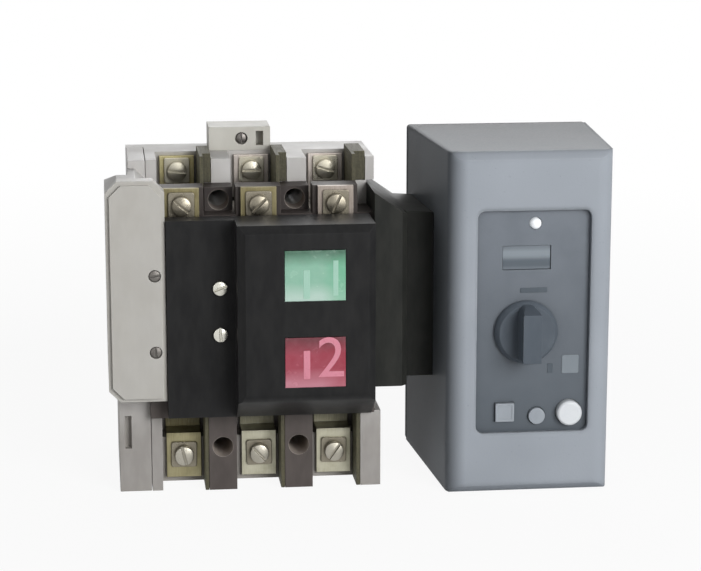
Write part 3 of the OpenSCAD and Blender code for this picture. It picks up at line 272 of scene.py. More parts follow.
class Patterns:
    """A material in the making. A colour is a socket, or a screen colour in hex."""

    def __init__(self, name):
        self.material = bpy.data.materials.new(name)
        self.material.use_nodes = True
        self.tree = self.material.node_tree
        self.shader = self.tree.nodes["Principled BSDF"]
        self.place = self.add("ShaderNodeTexCoord", which="Object")

    def add(self, kind, inputs=None, which=0, **options):
        return output(self.tree, kind, inputs, which, **options)

    def noise(self, size, detail=2.0, rough=0.5, stretch=None):
        """Soft noise whose features are about that many metres across."""
        place = self.place
        if stretch:
            place = self.add("ShaderNodeMapping", {"Vector": place, "Scale": stretch})
        return self.add("ShaderNodeTexNoise", {
            "Vector": place, "Scale": 1.0 / size, "Detail": detail, "Roughness": rough}, "Fac")

    def cells(self, size):
        """Distance to scattered points that are about that many metres apart."""
        return self.add("ShaderNodeTexVoronoi", {
            "Vector": self.place, "Scale": 1.0 / size}, "Distance")

    def spread(self, value, low, high, to_low=0.0, to_high=1.0):
        """The part of a value between two limits, stretched to two others."""
        return self.add("ShaderNodeMapRange", {
            "Value": value, "From Min": low, "From Max": high, "To Min": to_low,
            "To Max": to_high})

    def maths(self, operation, first, second=0.0):
        return self.add("ShaderNodeMath", {0: first, 1: second}, operation=operation)

    def times(self, first, second):
        return self.maths("MULTIPLY", first, second)

    def axis(self, which):
        """One coordinate of the place, in metres."""
        return self.add("ShaderNodeSeparateXYZ", {0: self.place}, which)

    def colour(self, factor, first, second):
        """The first colour where the factor is 0, the second where it is 1."""
        first, second = (c if isinstance(c, bpy.types.NodeSocket) else tone(c)
                         for c in (first, second))
        return self.add("ShaderNodeMix", {0: factor, 6: first, 7: second}, 2, data_type="RGBA")

    def glaze(self, body, mask, strength, tint):
        """Lays a tint over a colour, at that strength where the mask is 1."""
        return self.colour(self.times(mask, strength), body, tint)

    def fade(self, first, which, start, full, second):
        """A colour that turns into a second one between two places along an axis."""
        return self.colour(self.spread(self.axis(which), start, full), first, second)


print("patterns ready")

# %% [markdown]
# Use leaves its marks where the shape tells it to: edges are rubbed lighter,
# and corners are darkened, partly as dust and partly as painted shade, since
# the mask is occlusion. Such masks could be painted by hand, but two nodes can
# find the places. Near an edge the Bevel node's rounded normal parts from the
# true one, and Ambient Occlusion is low in a corner.

# %% Wear, relief and the finished material
class Finish(Patterns):
    """Patterns that know the shape of the piece, and the end of the tree."""

    def edges(self, radius, gain=6.0):
        """1 on sharp edges, 0 on open faces."""
        soft = self.add("ShaderNodeBevel", {"Radius": radius}, samples=4)
        true = self.add("ShaderNodeNewGeometry", which="Normal")
        alike = self.add("ShaderNodeVectorMath", {0: soft, 1: true}, "Value",
                         operation="DOT_PRODUCT")
        return self.spread(alike, 1.0 - 1.0 / gain, 1.0, 1.0, 0.0)

    def nooks(self, reach):
        """1 in corners and gaps, 0 in the open."""
        dark = self.add("ShaderNodeAmbientOcclusion", {"Distance": reach}, "AO", samples=4)
        return self.spread(dark, 0.25, 0.85, 1.0, 0.0)

    def round_axes(self, x, z, radius, blur=0.0001):
        """1 within that radius of four axes along Y, at plus and minus x and z."""
        off = [self.maths("SUBTRACT", self.maths("ABSOLUTE", self.axis(which)), centre)
               for which, centre in (("X", x), ("Z", z))]
        flat = self.add("ShaderNodeCombineXYZ", {0: off[0], 1: off[1]})
        away = self.add("ShaderNodeVectorMath", {0: flat}, "Value", operation="LENGTH")
        return self.spread(away, radius, radius + blur, 1.0, 0.0)

    def relief(self, height, depth, soften=0.0):
        """A normal from a height, over edges rounded by soften metres."""
        inputs = {"Height": height, "Distance": depth, "Strength": 1.0}
        if soften:
            inputs["Normal"] = self.add("ShaderNodeBevel", {"Radius": soften}, samples=4)
        return self.add("ShaderNodeBump", inputs)

    def fix(self, **sockets):
        """Sets inputs of the shader that are the same all over the surface."""
        for key, value in sockets.items():
            self.shader.inputs[key.replace("_", " ")].default_value = value

    def done(self, colour, roughness, normal=None):
        """Links the results to the shader, and gives back the material."""
        self.tree.links.new(colour, self.shader.inputs["Base Color"])
        self.tree.links.new(roughness, self.shader.inputs["Roughness"])
        if normal is not None:
            self.tree.links.new(normal, self.shader.inputs["Normal"])
        return self.material


print("finish kit ready")

# %% [markdown]
# Most of the switch is moulded thermoset. It comes out of the tool with a
# fine grain, flow marks that drift in tone, and edges that wear paler. It
# could be a flat colour with some roughness, but then large faces look like
# paper. Here three scales of noise carry the tone, the gloss and the relief,
# the bevel node finds the edges, and occlusion darkens the nooks, partly as
# dust and partly as painted shade.

# %% Moulded plastics
def moulded(name, colour, stain, worn, rough=0.45, depth=0.00002, dust_and_shade_amount=0.5, wear=0.35,
            shine=0.5, fade=None, bores=None):
    """fade is how the colour changes along an axis: (axis, start, full, second colour).
    bores is the colour inside four bores: (x and z of their axes, radius, colour)."""
    f = Finish(name)
    f.fix(Specular_IOR_Level=shine)
    drift = f.spread(f.noise(0.030, 3.0, 0.55), 0.3, 0.7)
    flow = f.spread(f.noise(0.006, 2.0, 0.6, (1.0, 1.0, 0.35)), 0.35, 0.65)
    if fade:
        colour = f.fade(colour, *fade)
    body = f.glaze(colour, drift, 0.35, stain)
    body = f.glaze(body, flow, 0.10, worn)
    edge = f.times(f.edges(0.0007), f.spread(f.noise(0.004, 3.0), 0.35, 0.6, 0.2, 1.0))
    body = f.glaze(body, edge, wear, worn)
    # Darker in nooks: patchy dust, and painted shade where occlusion is high.
    dust_and_shade = f.times(f.nooks(0.007), f.spread(f.noise(0.012, 3.0), 0.3, 0.7, 0.4, 1.0))
    body = f.glaze(body, dust_and_shade, dust_and_shade_amount, stain)
    # A pale colour inside the bores is painted light in their depth.
    if bores:
        *where, inside = bores
        body = f.colour(f.round_axes(*where), body, inside)
    grain = f.noise(0.00035, 3.0, 0.6)
    gloss = f.spread(f.maths("ADD", grain, drift), 0.4, 1.6, rough - 0.06, rough + 0.10)
    return f.done(body, gloss, f.relief(grain, depth, 0.0004))


THERMOSET = dict(colour=0x544d4a, stain=0x36302e, worn=0x807974, rough=0.52,
                 dust_and_shade_amount=0.3, shine=0.3, fade=("Z", 0.045, 0.060, 0x322b29))
FINISHES = {
    # The light moulding darkens towards its foot: painted shade, as if the light fell from above.
    "light_plastic": moulded("light_moulding", 0xcbc9c7, 0x969189, 0xdedcd8, shine=0.35,
                             fade=("Z", -0.030, -0.060, 0xa09c99)),
    "side_plastic": moulded("side_cover_moulding", 0xbebcb7, 0xa6a197, 0xdedcd6, rough=0.38,
                            dust_and_shade_amount=0.35, shine=0.4),
    "dark_moulding": moulded("dark_thermoset", **THERMOSET),
    "cover_black": moulded("black_cover", 0x1f1f20, 0x161617, 0x4e4e4c, rough=0.40,
                           depth=0.00003, dust_and_shade_amount=0.3, wear=0.3, shine=0.12),
    "white_plastic": moulded("white_moulding", 0xe0e4e8, 0xcecfce, 0xf6f8fa, rough=0.30,
                             dust_and_shade_amount=0.2, wear=0.2),
    "key_grey": moulded("key_moulding", 0x9ea5ad, 0x7c8289, 0xc4cad0, rough=0.34, dust_and_shade_amount=0.3),
    # The grip is darker than the disc behind it: painted shade that deepens the grip's shaded
    # flank.
    "knob_dark": moulded("knob_moulding", 0x565e67, 0x3e454d, 0x7a828a, dust_and_shade_amount=0.25, wear=0.3,
                         shine=0.15, fade=("Y", -0.1145, -0.1135, 0x626a73)),
    "shaft_brown": moulded("glass_filled_shaft", 0x745240, 0x563a2c, 0xa07e68, rough=0.50),
    "gear_polymer": moulded("acetal_wheel", 0xdecea0, 0xbeaa78, 0xf0e6c8, rough=0.28, dust_and_shade_amount=0.4),
}
print(len(FINISHES), "moulded finishes")

# %% [markdown]
# The metals carry the current or hold it. The straps are passivated copper
# alloy: rolled, so the brushing runs along them, with tarnish in slow clouds.
# The screws are nickel plated and turned. One recipe serves both, a metallic
# shader whose streaks are noise stretched along one axis. Each metal sets its
# own colour, tarnish and direction.

# %% Metals
def metal(name, colour, tarnish, bright, rough=0.30, clouds=0.45, streaks=(1.0, 1.0, 0.06),
          fade=None):
    """streaks is how the brushing is stretched, and None where it has no direction."""
    f = Finish(name)
    cloud = f.spread(f.noise(0.009, 4.0, 0.6), 0.38, 0.66)
    brush = f.noise(0.0005, stretch=streaks)
    if fade:
        colour = f.fade(colour, *fade)
    body = f.glaze(colour, cloud, clouds, tarnish)
    body = f.glaze(body, f.spread(brush, 0.35, 0.65), 0.22, bright)
    body = f.glaze(body, f.edges(0.0005), 0.5, bright)
    body = f.glaze(body, f.nooks(0.006), 0.6, tarnish)
    gloss = f.spread(f.maths("ADD", brush, cloud), 0.3, 1.7, rough - 0.05, rough + 0.18)
    f.fix(Metallic=0.9)
    return f.done(body, gloss, f.relief(brush, 0.000015, 0.0003))


FINISHES.update({
    "contact_copper": metal("passivated_copper", 0xc4ba8c, 0x807446, 0xe8e2c0, rough=0.34),
    "screw_nickel": metal("nickel_plate", 0xd8d6cc, 0x96917c, 0xf6f5f0, rough=0.22, clouds=0.3,
                          streaks=None),
    "screw_dark": metal("dark_zinc", 0x706c68, 0x3e3a36, 0xa09e9a, rough=0.38, streaks=None),
    "bare_steel": metal("zinc_plate", 0xb8bcc0, 0x8a8a88, 0xdee2e6, streaks=(1.0, 0.08, 1.0)),
    "chute_steel": metal("plain_steel", 0xa09e98, 0x686056, 0xc8c8c4, rough=0.40),
    "bush_brass": metal("turned_brass", 0xd6bc70, 0x967a3e, 0xf0dea0, rough=0.26),
})
print(len(FINISHES), "finishes with the metals")

# %% [markdown]
# The transformer's core is a stack of thin iron sheets under varnish. Modelled
# sheets would be lost inside the box. The fraction of X over the sheets' pitch
# starts again with each sheet, so it draws their lines in tone and in relief.

# %% The iron core
def laminations(name, colour, gap_colour, pitch):
    f = Finish(name)
    step = f.maths("FRACT", f.times(f.axis("X"), 1.0 / pitch))
    line = f.spread(f.maths("ABSOLUTE", f.maths("SUBTRACT", step, 0.5)), 0.34, 0.48)
    varnish = f.spread(f.noise(0.010, 3.0), 0.35, 0.7)
    body = f.glaze(colour, varnish, 0.4, gap_colour)
    body = f.glaze(body, line, 0.7, gap_colour)
    f.fix(Metallic=0.5)
    return f.done(body, f.spread(varnish, 0, 1, 0.35, 0.6),
                  f.relief(f.maths("SUBTRACT", 1.0, line), 0.00008))


FINISHES["iron_core"] = laminations("varnished_core", 0x807668, 0x3c3228, pitch=0.0005)
print("iron core made")

# %% [markdown]
# The operator's box is folded and moulded, then powder coated. Powder flows
# into a shallow orange peel about a millimetre across and keeps tiny darker
# specks. Voronoi distance makes good specks, noise makes the peel, and the
# edges thin out a little paler where the coat was rubbed. The front face is
# the palest: the shell's top and flanks are painted darker as painted shade,
# and so is the front's turn over its left edge. The shell behind it darkens
# slowly towards the wall that the box hangs on, and its corners are darkened
# as painted shade.

# %% Powder coat
TURN_PAINTED_SHADE = (0.003, 0.017)
FRONT_RIM = (-0.107, -0.103)
SHELL_FADE = (-0.100, -0.010)


def powder_coat(name, front, turn, shell, rear, shade, pale, left):
    """The front face, its turn at the left edge, and the shell from front to rear.
    The turn and the shell are painted darker than the front, as painted shade.
    """
    f = Finish(name)
    f.fix(Specular_IOR_Level=0.02)
    front = f.fade(turn, "X", left + TURN_PAINTED_SHADE[0], left + TURN_PAINTED_SHADE[1], front)
    shell = f.fade(shell, "Y", *SHELL_FADE, rear)
    colour = f.fade(front, "Y", *FRONT_RIM, shell)
    peel = f.noise(0.0011, 2.0, 0.45)
    drift = f.spread(f.noise(0.060), 0.35, 0.65)
    body = f.glaze(colour, drift, 0.22, shade)
    speck = f.spread(f.cells(0.0022), 0.10, 0.22, 1.0, 0.0)
    rare = f.spread(f.noise(0.004, 1.0), 0.55, 0.65)
    body = f.glaze(body, f.times(speck, rare), 0.30, shade)
    scuff = f.spread(f.noise(0.012, 5.0, 0.7, (1.0, 1.0, 0.25)), 0.60, 0.72)
    body = f.glaze(body, scuff, 0.10, pale)
    rub = f.times(f.edges(0.0010), f.spread(f.noise(0.006, 4.0), 0.4, 0.6, 0.25, 1.0))
    body = f.glaze(body, rub, 0.5, pale)
    # Corners are darkened, as painted shade.
    body = f.glaze(body, f.nooks(0.012), 0.45, shade)
    gloss = f.spread(f.maths("ADD", peel, scuff), 0.2, 1.5, 0.34, 0.56)
    return f.done(body, gloss, f.relief(peel, 0.00004, 0.0045))


# The turn and the shell are darker than the front: painted shade.
FINISHES["case_paint"] = powder_coat(
    "grey_powder_coat", front=0xa6acb4, turn=0x666b6f, shell=0x8c9197,
    rear=0x606469, shade=0x80868d, pale=0xc4c9cf,
    left=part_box("operator_case")[0].x)
print("powder coat made")

# %% [markdown]
# The facia is a moulding faced with a matt film. The film has a fine pebble
# that scatters the light, and its tone falls off a little towards the foot.
# The same kit gives that with one fade along Z. Its corners and the rims of
# its recess are darkened, as painted shadow of the case's front wall.

# %% The facia's film
def film(name, top_colour, foot_colour, node):
    f = Finish(name)
    low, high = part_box(node)
    body = f.fade(foot_colour, "Z", low.z, high.z, top_colour)
    blot = f.spread(f.noise(0.014, 3.0), 0.4, 0.7)
    body = f.glaze(body, blot, 0.18, foot_colour)
    body = f.glaze(body, f.edges(0.0006), 0.5, 0x969ea5)
    # Painted shadow in the corners and along the rims of the recess.
    body = f.glaze(body, f.nooks(0.014), 0.7, 0x3a4046)
    pebble = f.cells(0.0005)
    gloss = f.spread(f.maths("ADD", pebble, blot), 0.2, 1.6, 0.42, 0.60)
    return f.done(body, gloss, f.relief(pebble, 0.00002, 0.0004))


FINISHES["facia_grey"] = film("facia_film", 0x6e757e, 0x4c545c, "facia")
print("facia film made")

# %% [markdown]
# Two sheet materials are left. The brown barriers between the poles are
# pressed board, long fibres felted both ways, which two crossed stretches of
# noise imitate. The control board is glass laminate under green resist, with
# tracks that show through. A brick pattern is enough for those, because the
# board sits inside the box.

# %% Pressed board and circuit board
def fibre_card(name, colour, fibre, pale, gap_colour):
    f = Finish(name)
    ways = [f.noise(0.0010, 3.0, 0.6, way) for way in ((1.0, 0.08, 1.0), (1.0, 1.0, 0.08))]
    felt = f.maths("ADD", *ways)
    body = f.colour(f.spread(felt, 0.75, 1.25), colour, fibre)
    body = f.glaze(body, f.edges(0.0005), 0.6, pale)
    # Gaps are darkened towards the gap colour, as painted shade.
    body = f.glaze(body, f.nooks(0.006), 0.5, gap_colour)
    return f.done(body, f.spread(felt, 0.7, 1.3, 0.55, 0.75), f.relief(felt, 0.00005))


def circuit_board(name, resist, track):
    f = Finish(name)
    lines = put_node(f.tree, "ShaderNodeTexBrick", {
        "Vector": f.place, "Scale": 300.0, "Color1": tone(resist), "Color2": tone(resist),
        "Mortar": tone(track), "Mortar Size": 0.06, "Brick Width": 1.4,
        "Row Height": 0.5}, offset=0.4).outputs
    cloudy = f.spread(f.noise(0.008), 0.4, 0.6)
    return f.done(f.glaze(lines["Color"], cloudy, 0.3, resist),
                  f.spread(cloudy, 0, 1, 0.25, 0.4), f.relief(lines["Fac"], 0.00003))


FINISHES["barrier_brown"] = fibre_card("pressed_board", 0x524e38, 0x3c3a2a, 0x807c60, 0x1e1d16)
FINISHES["board_green"] = circuit_board("solder_resist", 0x306c46, 0x5a9668)
print(len(FINISHES), "finishes with film, board and card")

# %% [markdown]
# The two position windows are clear tinted lenses over a white backing, so
# they glow where the backing lies close. A pure glass shader would be black
# against the dark inside of the cover. A mostly solid, faintly clear plastic
# with a coat of gloss holds its colour from every side. A darker band across
# the top of each lens is painted shadow, as if from the window's rim, and its
# paler foot is painted light.

# %% The two lenses
def tinted_lens(name, node, colour, deep, pale, strong):
    """The colour, the dark band at the top, the pale foot and the strong right side.
    The band is painted shadow, and the foot is painted light.
    """
    f = Finish(name)
    low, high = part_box(node)
    wide, tall = high.x - low.x, high.z - low.z
    z = f.axis("Z")
    wander = f.spread(f.noise(0.010), 0.3, 0.7, -0.0012, 0.0012)
    z = f.maths("ADD", z, wander)
    # The top band is painted shadow, and the foot is painted light.
    top = f.spread(z, high.z - 0.36 * tall, high.z - 0.10 * tall)
    foot = f.spread(z, low.z + 0.38 * tall, low.z + 0.12 * tall)
    right = f.spread(f.axis("X"), low.x + 0.60 * wide, low.x + 0.85 * wide)
    body = f.glaze(colour, foot, 0.85, pale)
    body = f.glaze(body, right, 0.5, strong)
    body = f.colour(top, body, deep)
    haze = f.spread(f.noise(0.005, 3.0), 0.4, 0.7)
    body = f.glaze(body, haze, 0.12, pale)
    f.fix(IOR=1.49, Transmission_Weight=0.04, Coat_Weight=0.4, Coat_Roughness=0.12)
    return f.done(body, f.spread(haze, 0, 1, 0.16, 0.30),
                  f.relief(f.noise(0.010, 1.0), 0.00003, 0.0003))


FINISHES["green_lens"] = tinted_lens("green_lens_plastic", "upper_window", 0x8cc0a7, 0x427058,
                                     0xc2dcd0, 0x56b888)
FINISHES["red_lens"] = tinted_lens("red_lens_plastic", "lower_window", 0xa02f45, 0x6e2632,
                                   0xce8898, 0x9e1a36)
print("two lenses made")

# %% [markdown]
# The display sits behind a smoked window, unlit: a pale reading band over a
# dark one. Two soft steps, one rising and one falling, multiply into a band
# with soft ends. The status lamp above it is a frosted white dome that is on,
# so its shader gives a little light of its own. A real lamp inside the dome
# would need far more samples for the same look.

# %% The display and the lamp
def smoked_display(name, node, body, band, dark):
    """A smoked window: a pale reading band above a dark one, between softer ends."""
    f = Finish(name)
    low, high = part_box(node)
    up = f.spread(f.axis("Z"), low.z, high.z)
    pale = f.times(f.spread(up, 0.44, 0.58), f.spread(up, 0.84, 0.70))
    deep = f.times(f.spread(up, 0.10, 0.24), f.spread(up, 0.52, 0.38))
    streak = f.noise(0.020, stretch=(0.2, 1.0, 1.0))
    body = f.colour(pale, f.colour(deep, body, dark), band)
    body = f.glaze(body, f.spread(streak, 0.45, 0.6), 0.2, dark)
    f.fix(Coat_Weight=0.5, Coat_Roughness=0.08)
    return f.done(body, f.spread(streak, 0.3, 0.7, 0.14, 0.26))


def lit_lamp(name, colour, frosted):
    """The white status lamp, lit: a frosted dome that glows a little."""
    f = Finish(name)
    frost = f.spread(f.noise(0.0008, 3.0), 0.3, 0.7)
    f.fix(Emission_Strength=0.35, Emission_Color=tone(colour))
    return f.done(f.colour(frost, colour, frosted), f.spread(frost, 0, 1, 0.2, 0.4))


FINISHES["display_dark"] = smoked_display("smoked_window", "display_window", 0x707982, 0x8c969e,
                                          0x4a555f)
lamp_finish = lit_lamp("lit_lamp_dome", 0xe8ecf0, 0xfafafa)
print("display and lamp made")

# %% [markdown]
# Each solid carries the name of its material slot from the CAD record. The
# finishes could be set one by one, but a loop over the record does all of them
# at once and forgets none.

# %% Hand out the finishes
slot_of = {part["node"]: part["material_slot"] for part in frame["record"]["subparts"]}


def wear_finish(node, material):
    for place in frame["nodes"][node].material_slots:
        place.material = material


for node, slot in slot_of.items():
    wear_finish(node, FINISHES[slot])
print(len(slot_of), "solids finished")

# %% [markdown]
# A few solids differ from the rest of their slot: the status lamp glows, the
# coupling housing is a warmer grey, and the terminals are tinned or tarnished,
# row by row, with the back row made brighter as painted light. The control
# block is paler, as painted light against the shade it stands in, and the load
# pads darken under the cover, as painted shadow. The screw ways through the
# phase walls are painted pale inside, as painted light in their deep shade, and
# are found from the walls' own box. These few are set afterwards, by name.

# %% Solids with a finish of their own
WAY_FROM_SIDE, WAY_FROM_TOP, WAY_RADIUS = 0.0075, 0.0070, 0.00555
# The load pads darken between these two heights, towards the bend under the cover:
# painted shadow of the cover.
PAD_FOOT, PAD_BEND = -0.064, -0.058
walls_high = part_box("phase_walls")[1]
# The tinned copper of the back row is also made brighter, as painted light.
tinned = metal("tinned_copper", 0xcec5be, 0xa0948a, 0xece6e0, rough=0.32)
dull_tinned = metal("dull_tinned_copper", 0x968c84, 0x6a6056, 0xbeb6ae, rough=0.38)
olive_copper = metal("tarnished_copper", 0x7e7658, 0x544d32, 0xaaa280, rough=0.40)
load_copper = metal("load_copper", 0x968f70, 0x686142, 0xbeb898, rough=0.38,
                    fade=("Z", PAD_FOOT, PAD_BEND, 0x484434))
pale_copper = metal("pale_load_copper", 0xb4b19e, 0x86836c, 0xd2d0c0, rough=0.38,
                    fade=("Z", PAD_FOOT, PAD_BEND, 0x524f40))
OWN_FINISH = {
    "status_lamp": lamp_finish,
    "coupling_housing": moulded("coupling_moulding", 0x292a28, 0x1a1b19, 0x585852, rough=0.48,
                                shine=0.12),
    # The control block's pale tone is painted light, raised against the shade it stands in.
    "control_block": moulded("control_moulding", 0xceccc4, 0x98958a, 0xdcdad2, dust_and_shade_amount=0.4),
    # Pale inside the bores: painted light in their deep shade.
    "phase_walls": moulded("wall_thermoset", **THERMOSET, bores=(
        walls_high.x - WAY_FROM_SIDE, walls_high.z - WAY_FROM_TOP, WAY_RADIUS, 0xaca29a)),
    "source_1_terminal_b": tinned, "source_1_terminal_c": tinned,
    "source_2_terminal_a": olive_copper, "source_2_terminal_b": olive_copper,
    "source_2_terminal_c": dull_tinned, "load_terminal_a": load_copper,
    "load_terminal_b": pale_copper, "load_terminal_c": pale_copper}
for node, finish in OWN_FINISH.items():
    wear_finish(node, finish)
print(len(OWN_FINISH), "solids have a finish of their own")

# %% [markdown]
# Moulded, folded and turned parts have no knife edges, and a thin highlight
# along each edge tells the eye how thick a part is. The solids arrive
# as loose triangles. Weld joins them, a planar Decimate removes the diagonals
# of the flat faces, Bevel rounds the edges that are left, and Weighted Normal
# keeps the big faces flat. All four are modifiers, so the meshes underneath
# stay as they came.

# %% Round the edges
WELD_REACH, FLAT_ANGLE = 0.01, 0.6


def soften(node, width, steps=2, sharp=38.0):
    """Rounds the edges of one solid by that many millimetres."""
    piece = frame["nodes"][node]
    weld = piece.modifiers.new("weld", "WELD")
    weld.merge_threshold = WELD_REACH * MM
    flats = piece.modifiers.new("flats", "DECIMATE")
    flats.decimate_type = "DISSOLVE"
    flats.angle_limit = math.radians(FLAT_ANGLE)
    rounds = piece.modifiers.new("rounds", "BEVEL")
    rounds.width, rounds.segments = width * MM, steps
    rounds.limit_method, rounds.angle_limit = "ANGLE", math.radians(sharp)
    rounds.use_clamp_overlap = True
    piece.modifiers.new("normals", "WEIGHTED_NORMAL")


ROUNDED = {
    "operator_case": 0.5, "facia": 0.25, "front_cover": 0.4, "side_cover": 0.5,
    "side_housing": 0.5, "rear_base": 0.4, "contact_housing": 0.3, "phase_walls": 0.4,
    "phase_barriers": 0.25, "coupling_housing": 0.5, "control_block": 0.5,
    "control_plug": 0.3, "operator_back": 0.3, "selector_knob": 0.6, "square_key": 0.4,
    "small_key": 0.4, "test_button": 0.5, "upper_window": 0.2, "lower_window": 0.2,
    "display_window": 0.15,
}
ROUNDED.update({row + "_terminal_" + pole: 0.3 for pole in "abc"
                for row in ("source_1", "source_2", "load")})
for node, width in ROUNDED.items():
    soften(node, width)
print(len(ROUNDED), "solids have rounded edges")

# %% [markdown]
# Every terminal is clamped by a turned, slotted head over a split spring
# washer and a square clamp washer. A groove painted on a cylinder would look
# right only from afar: a real slot catches shadow and the rims catch light.
# The helpers stack outlines and skin them, which is how a lathe or a press
# gives such parts their shape. Sizes are in millimetres, and the axis is Z.

# %% Helpers that skin stacked outlines
def arc(radius, height, start, sweep, steps):
    """Points along an arc, from a start angle, one for each step and one more."""
    angles = [start + sweep * i / steps for i in range(steps + 1)]
    return [(radius * math.cos(a), radius * math.sin(a), height) for a in angles]


def circle(radius, height, points=40):
    return arc(radius, height, 0.0, 2 * math.pi, points)[:-1]


def half_disc(radius, gap, height, turn, points=18):
    """One side of a slotted disc: an arc, closed by a chord that far off the centre."""
    start = math.asin(gap / radius)
    return arc(radius, height, start + turn, math.pi - 2 * start, points)


def rounded_rect(half_w, half_h, corner, height, points=6):
    """The outline of a rectangle with rounded corners, anticlockwise."""
    loop = []
    for quarter, (sx, sy) in enumerate([(1, 1), (-1, 1), (-1, -1), (1, -1)]):
        bend = arc(corner, height, math.pi / 2 * quarter, math.pi / 2, points - 1)
        loop += [(sx * (half_w - corner) + x, sy * (half_h - corner) + y, z)
                 for x, y, z in bend]
    return loop


def skin(solid, loops, wrapped=False):
    """Joins outlines of equal length, and caps the ends or wraps round to the start."""
    rows = [[solid.verts.new(Vector(p) * MM) for p in loop] for loop in loops]
    pairs = list(zip(rows, rows[1:]))
    if wrapped:
        pairs.append((rows[-1], rows[0]))
    else:
        solid.faces.new(rows[0][::-1])
        solid.faces.new(rows[-1])
    for low, high in pairs:
        for i in range(len(low)):
            j = (i + 1) % len(low)
            solid.faces.new((low[i], low[j], high[j], high[i]))


def finished(name, solid, sharp=35.0):
    """The mesh as an object, smooth but for its sharp edges."""
    bmesh.ops.recalc_face_normals(solid, faces=solid.faces)
    for face in solid.faces:
        face.smooth = True
    for edge in solid.edges:
        edge.smooth = edge.calc_face_angle(0.0) < math.radians(sharp)
    mesh = bpy.data.meshes.new(name)
    solid.to_mesh(mesh)
    solid.free()
    return in_scene(name, mesh)


print("outline helpers ready")

# %% [markdown]
# A slotted head is a low disc with two half discs on it, a slot's width apart.
# Cutting the slot with a boolean would do too, but such cuts leave ragged
# faces. The rims are stepped inwards, so the edge has a small radius, and the
# shank has the rings of a thread. A spring washer is a rectangle carried once
# round, its ends a little apart, and a clamp washer is a square with a hole.

# %% The shapes of screws and washers
# The head's rim, the overlap of two pieces, the bare neck, the tip, the thread's depth.
RIM, BEDDED, NECK, TIP, GROOVE = 0.3, 0.2, 1.0, 0.6, 0.35
# The slot's floor as a share of the head, and the steps of the rim: in and down.
LEDGE_SHARE = 0.55
HEAD_STEPS = ((0.0, 0.5), (0.12, 0.2), (0.5, 0.0))
SPLIT = 14.0


def slotted_screw(head, height, shank, length, slot, seat=0.0, pitch=1.0):
    """A screw whose head stands on the seat and whose shank reaches down to -length."""
    solid = bmesh.new()
    ledge, top = seat + LEDGE_SHARE * height, seat + height
    skin(solid, [circle(head - RIM, seat), circle(head, seat + RIM), circle(head, ledge)])
    steps = [(0.0, ledge - BEDDED)] + [(inset, top - drop) for inset, drop in HEAD_STEPS]
    for turn in (0.0, math.pi):
        skin(solid, [half_disc(head - inset, slot / 2 + inset / 4, rise, turn)
                     for inset, rise in steps])
    rings = [circle(shank - TIP, -length, 20)]
    for i in range(int((length - NECK) / pitch)):
        crest = -length + TIP + i * pitch
        rings += [circle(shank, crest, 20), circle(shank - GROOVE, crest + pitch / 2, 20)]
    skin(solid, rings + [circle(shank, seat + BEDDED, 20)])
    return solid


def spring_washer(solid, inner, outer, low, thick, lift=0.3, points=34):
    """A washer split over SPLIT degrees, whose one end stands a little higher."""
    rows = []
    for i in range(points + 1):
        a = math.radians(SPLIT / 2 + (360.0 - SPLIT) * i / points)
        rise = low + lift * i / points
        rows.append([(r * math.cos(a), r * math.sin(a), z) for r, z in
                     ((inner, rise), (outer, rise), (outer, rise + thick), (inner, rise + thick))])
    skin(solid, rows)


def clamp_washer(half, thick, hole, corner=1.3, rim=0.25):
    """A square pressed washer with rounded corners and a round hole."""
    solid = bmesh.new()
    outer = [rounded_rect(half - inset, half - inset, corner, rise) for inset, rise in
             ((rim, 0.0), (0.0, rim), (0.0, thick - rim), (rim, thick))]
    inner = [[(hole * Vector(p[:2]).normalized()).to_tuple() + (rise,) for p in outer[0]]
             for rise in (thick, 0.0)]
    skin(solid, outer + inner, wrapped=True)
    return solid


print("fastener shapes ready")

# %% [markdown]
# One of each fastener is enough, because the rows are set out from it and it
# is deleted in the end. Only the sizes differ between the big terminal screws
# and the small ones: the head's radius and height, the shank's length and the
# slot's width, all in millimetres.

# %% One of each fastener
WASHER_HALF, WASHER_THICK, SPRING_THICK, SPRING_ROOM = 7.0, 1.5, 0.7, 1.0
TERMINAL_HEAD, TERMINAL_RISE, TERMINAL_SHANK = 5.2, 3.0, 2.95
# Each small screw's head radius, head height, length and slot.
SMALL_SCREWS = {"cover_screw": (3.8, 2.5, 23.0, 1.2), "side_screw": (3.0, 1.8, 21.0, 0.9),
                "case_screw": (3.0, 1.8, 16.0, 0.9), "gear_screw": (2.8, 2.0, 5.5, 0.9)}
SMALL_SHANK = 1.45

big_screw = slotted_screw(TERMINAL_HEAD, TERMINAL_RISE, TERMINAL_SHANK, length=11.0,
                          slot=1.3, seat=WASHER_THICK + SPRING_ROOM)
spring_washer(big_screw, inner=3.1, outer=5.0, low=WASHER_THICK, thick=SPRING_THICK)
big_washer = clamp_washer(WASHER_HALF, WASHER_THICK, hole=3.2)
FASTENERS = {"terminal_screw": finished("terminal_screw", big_screw),
             "terminal_washer": finished("terminal_washer", big_washer)}
for name, (head, rise, length, slot) in SMALL_SCREWS.items():
    FASTENERS[name] = finished(name, slotted_screw(head, rise, SMALL_SHANK, length, slot))
for name, fastener in FASTENERS.items():
    print(name, len(fastener.data.polygons), "faces")

# %% [markdown]
# The fasteners stand in rows, so a Geometry Nodes tree sets them out: a line
# of points, one fastener on each, every head turned by its own random angle as
# a fitter leaves it. The seed is fixed, so it is the same each time. An array
# modifier could not turn them. The tree ends by realizing the copies, because
# an export drops instances, and its result is kept as a plain mesh.

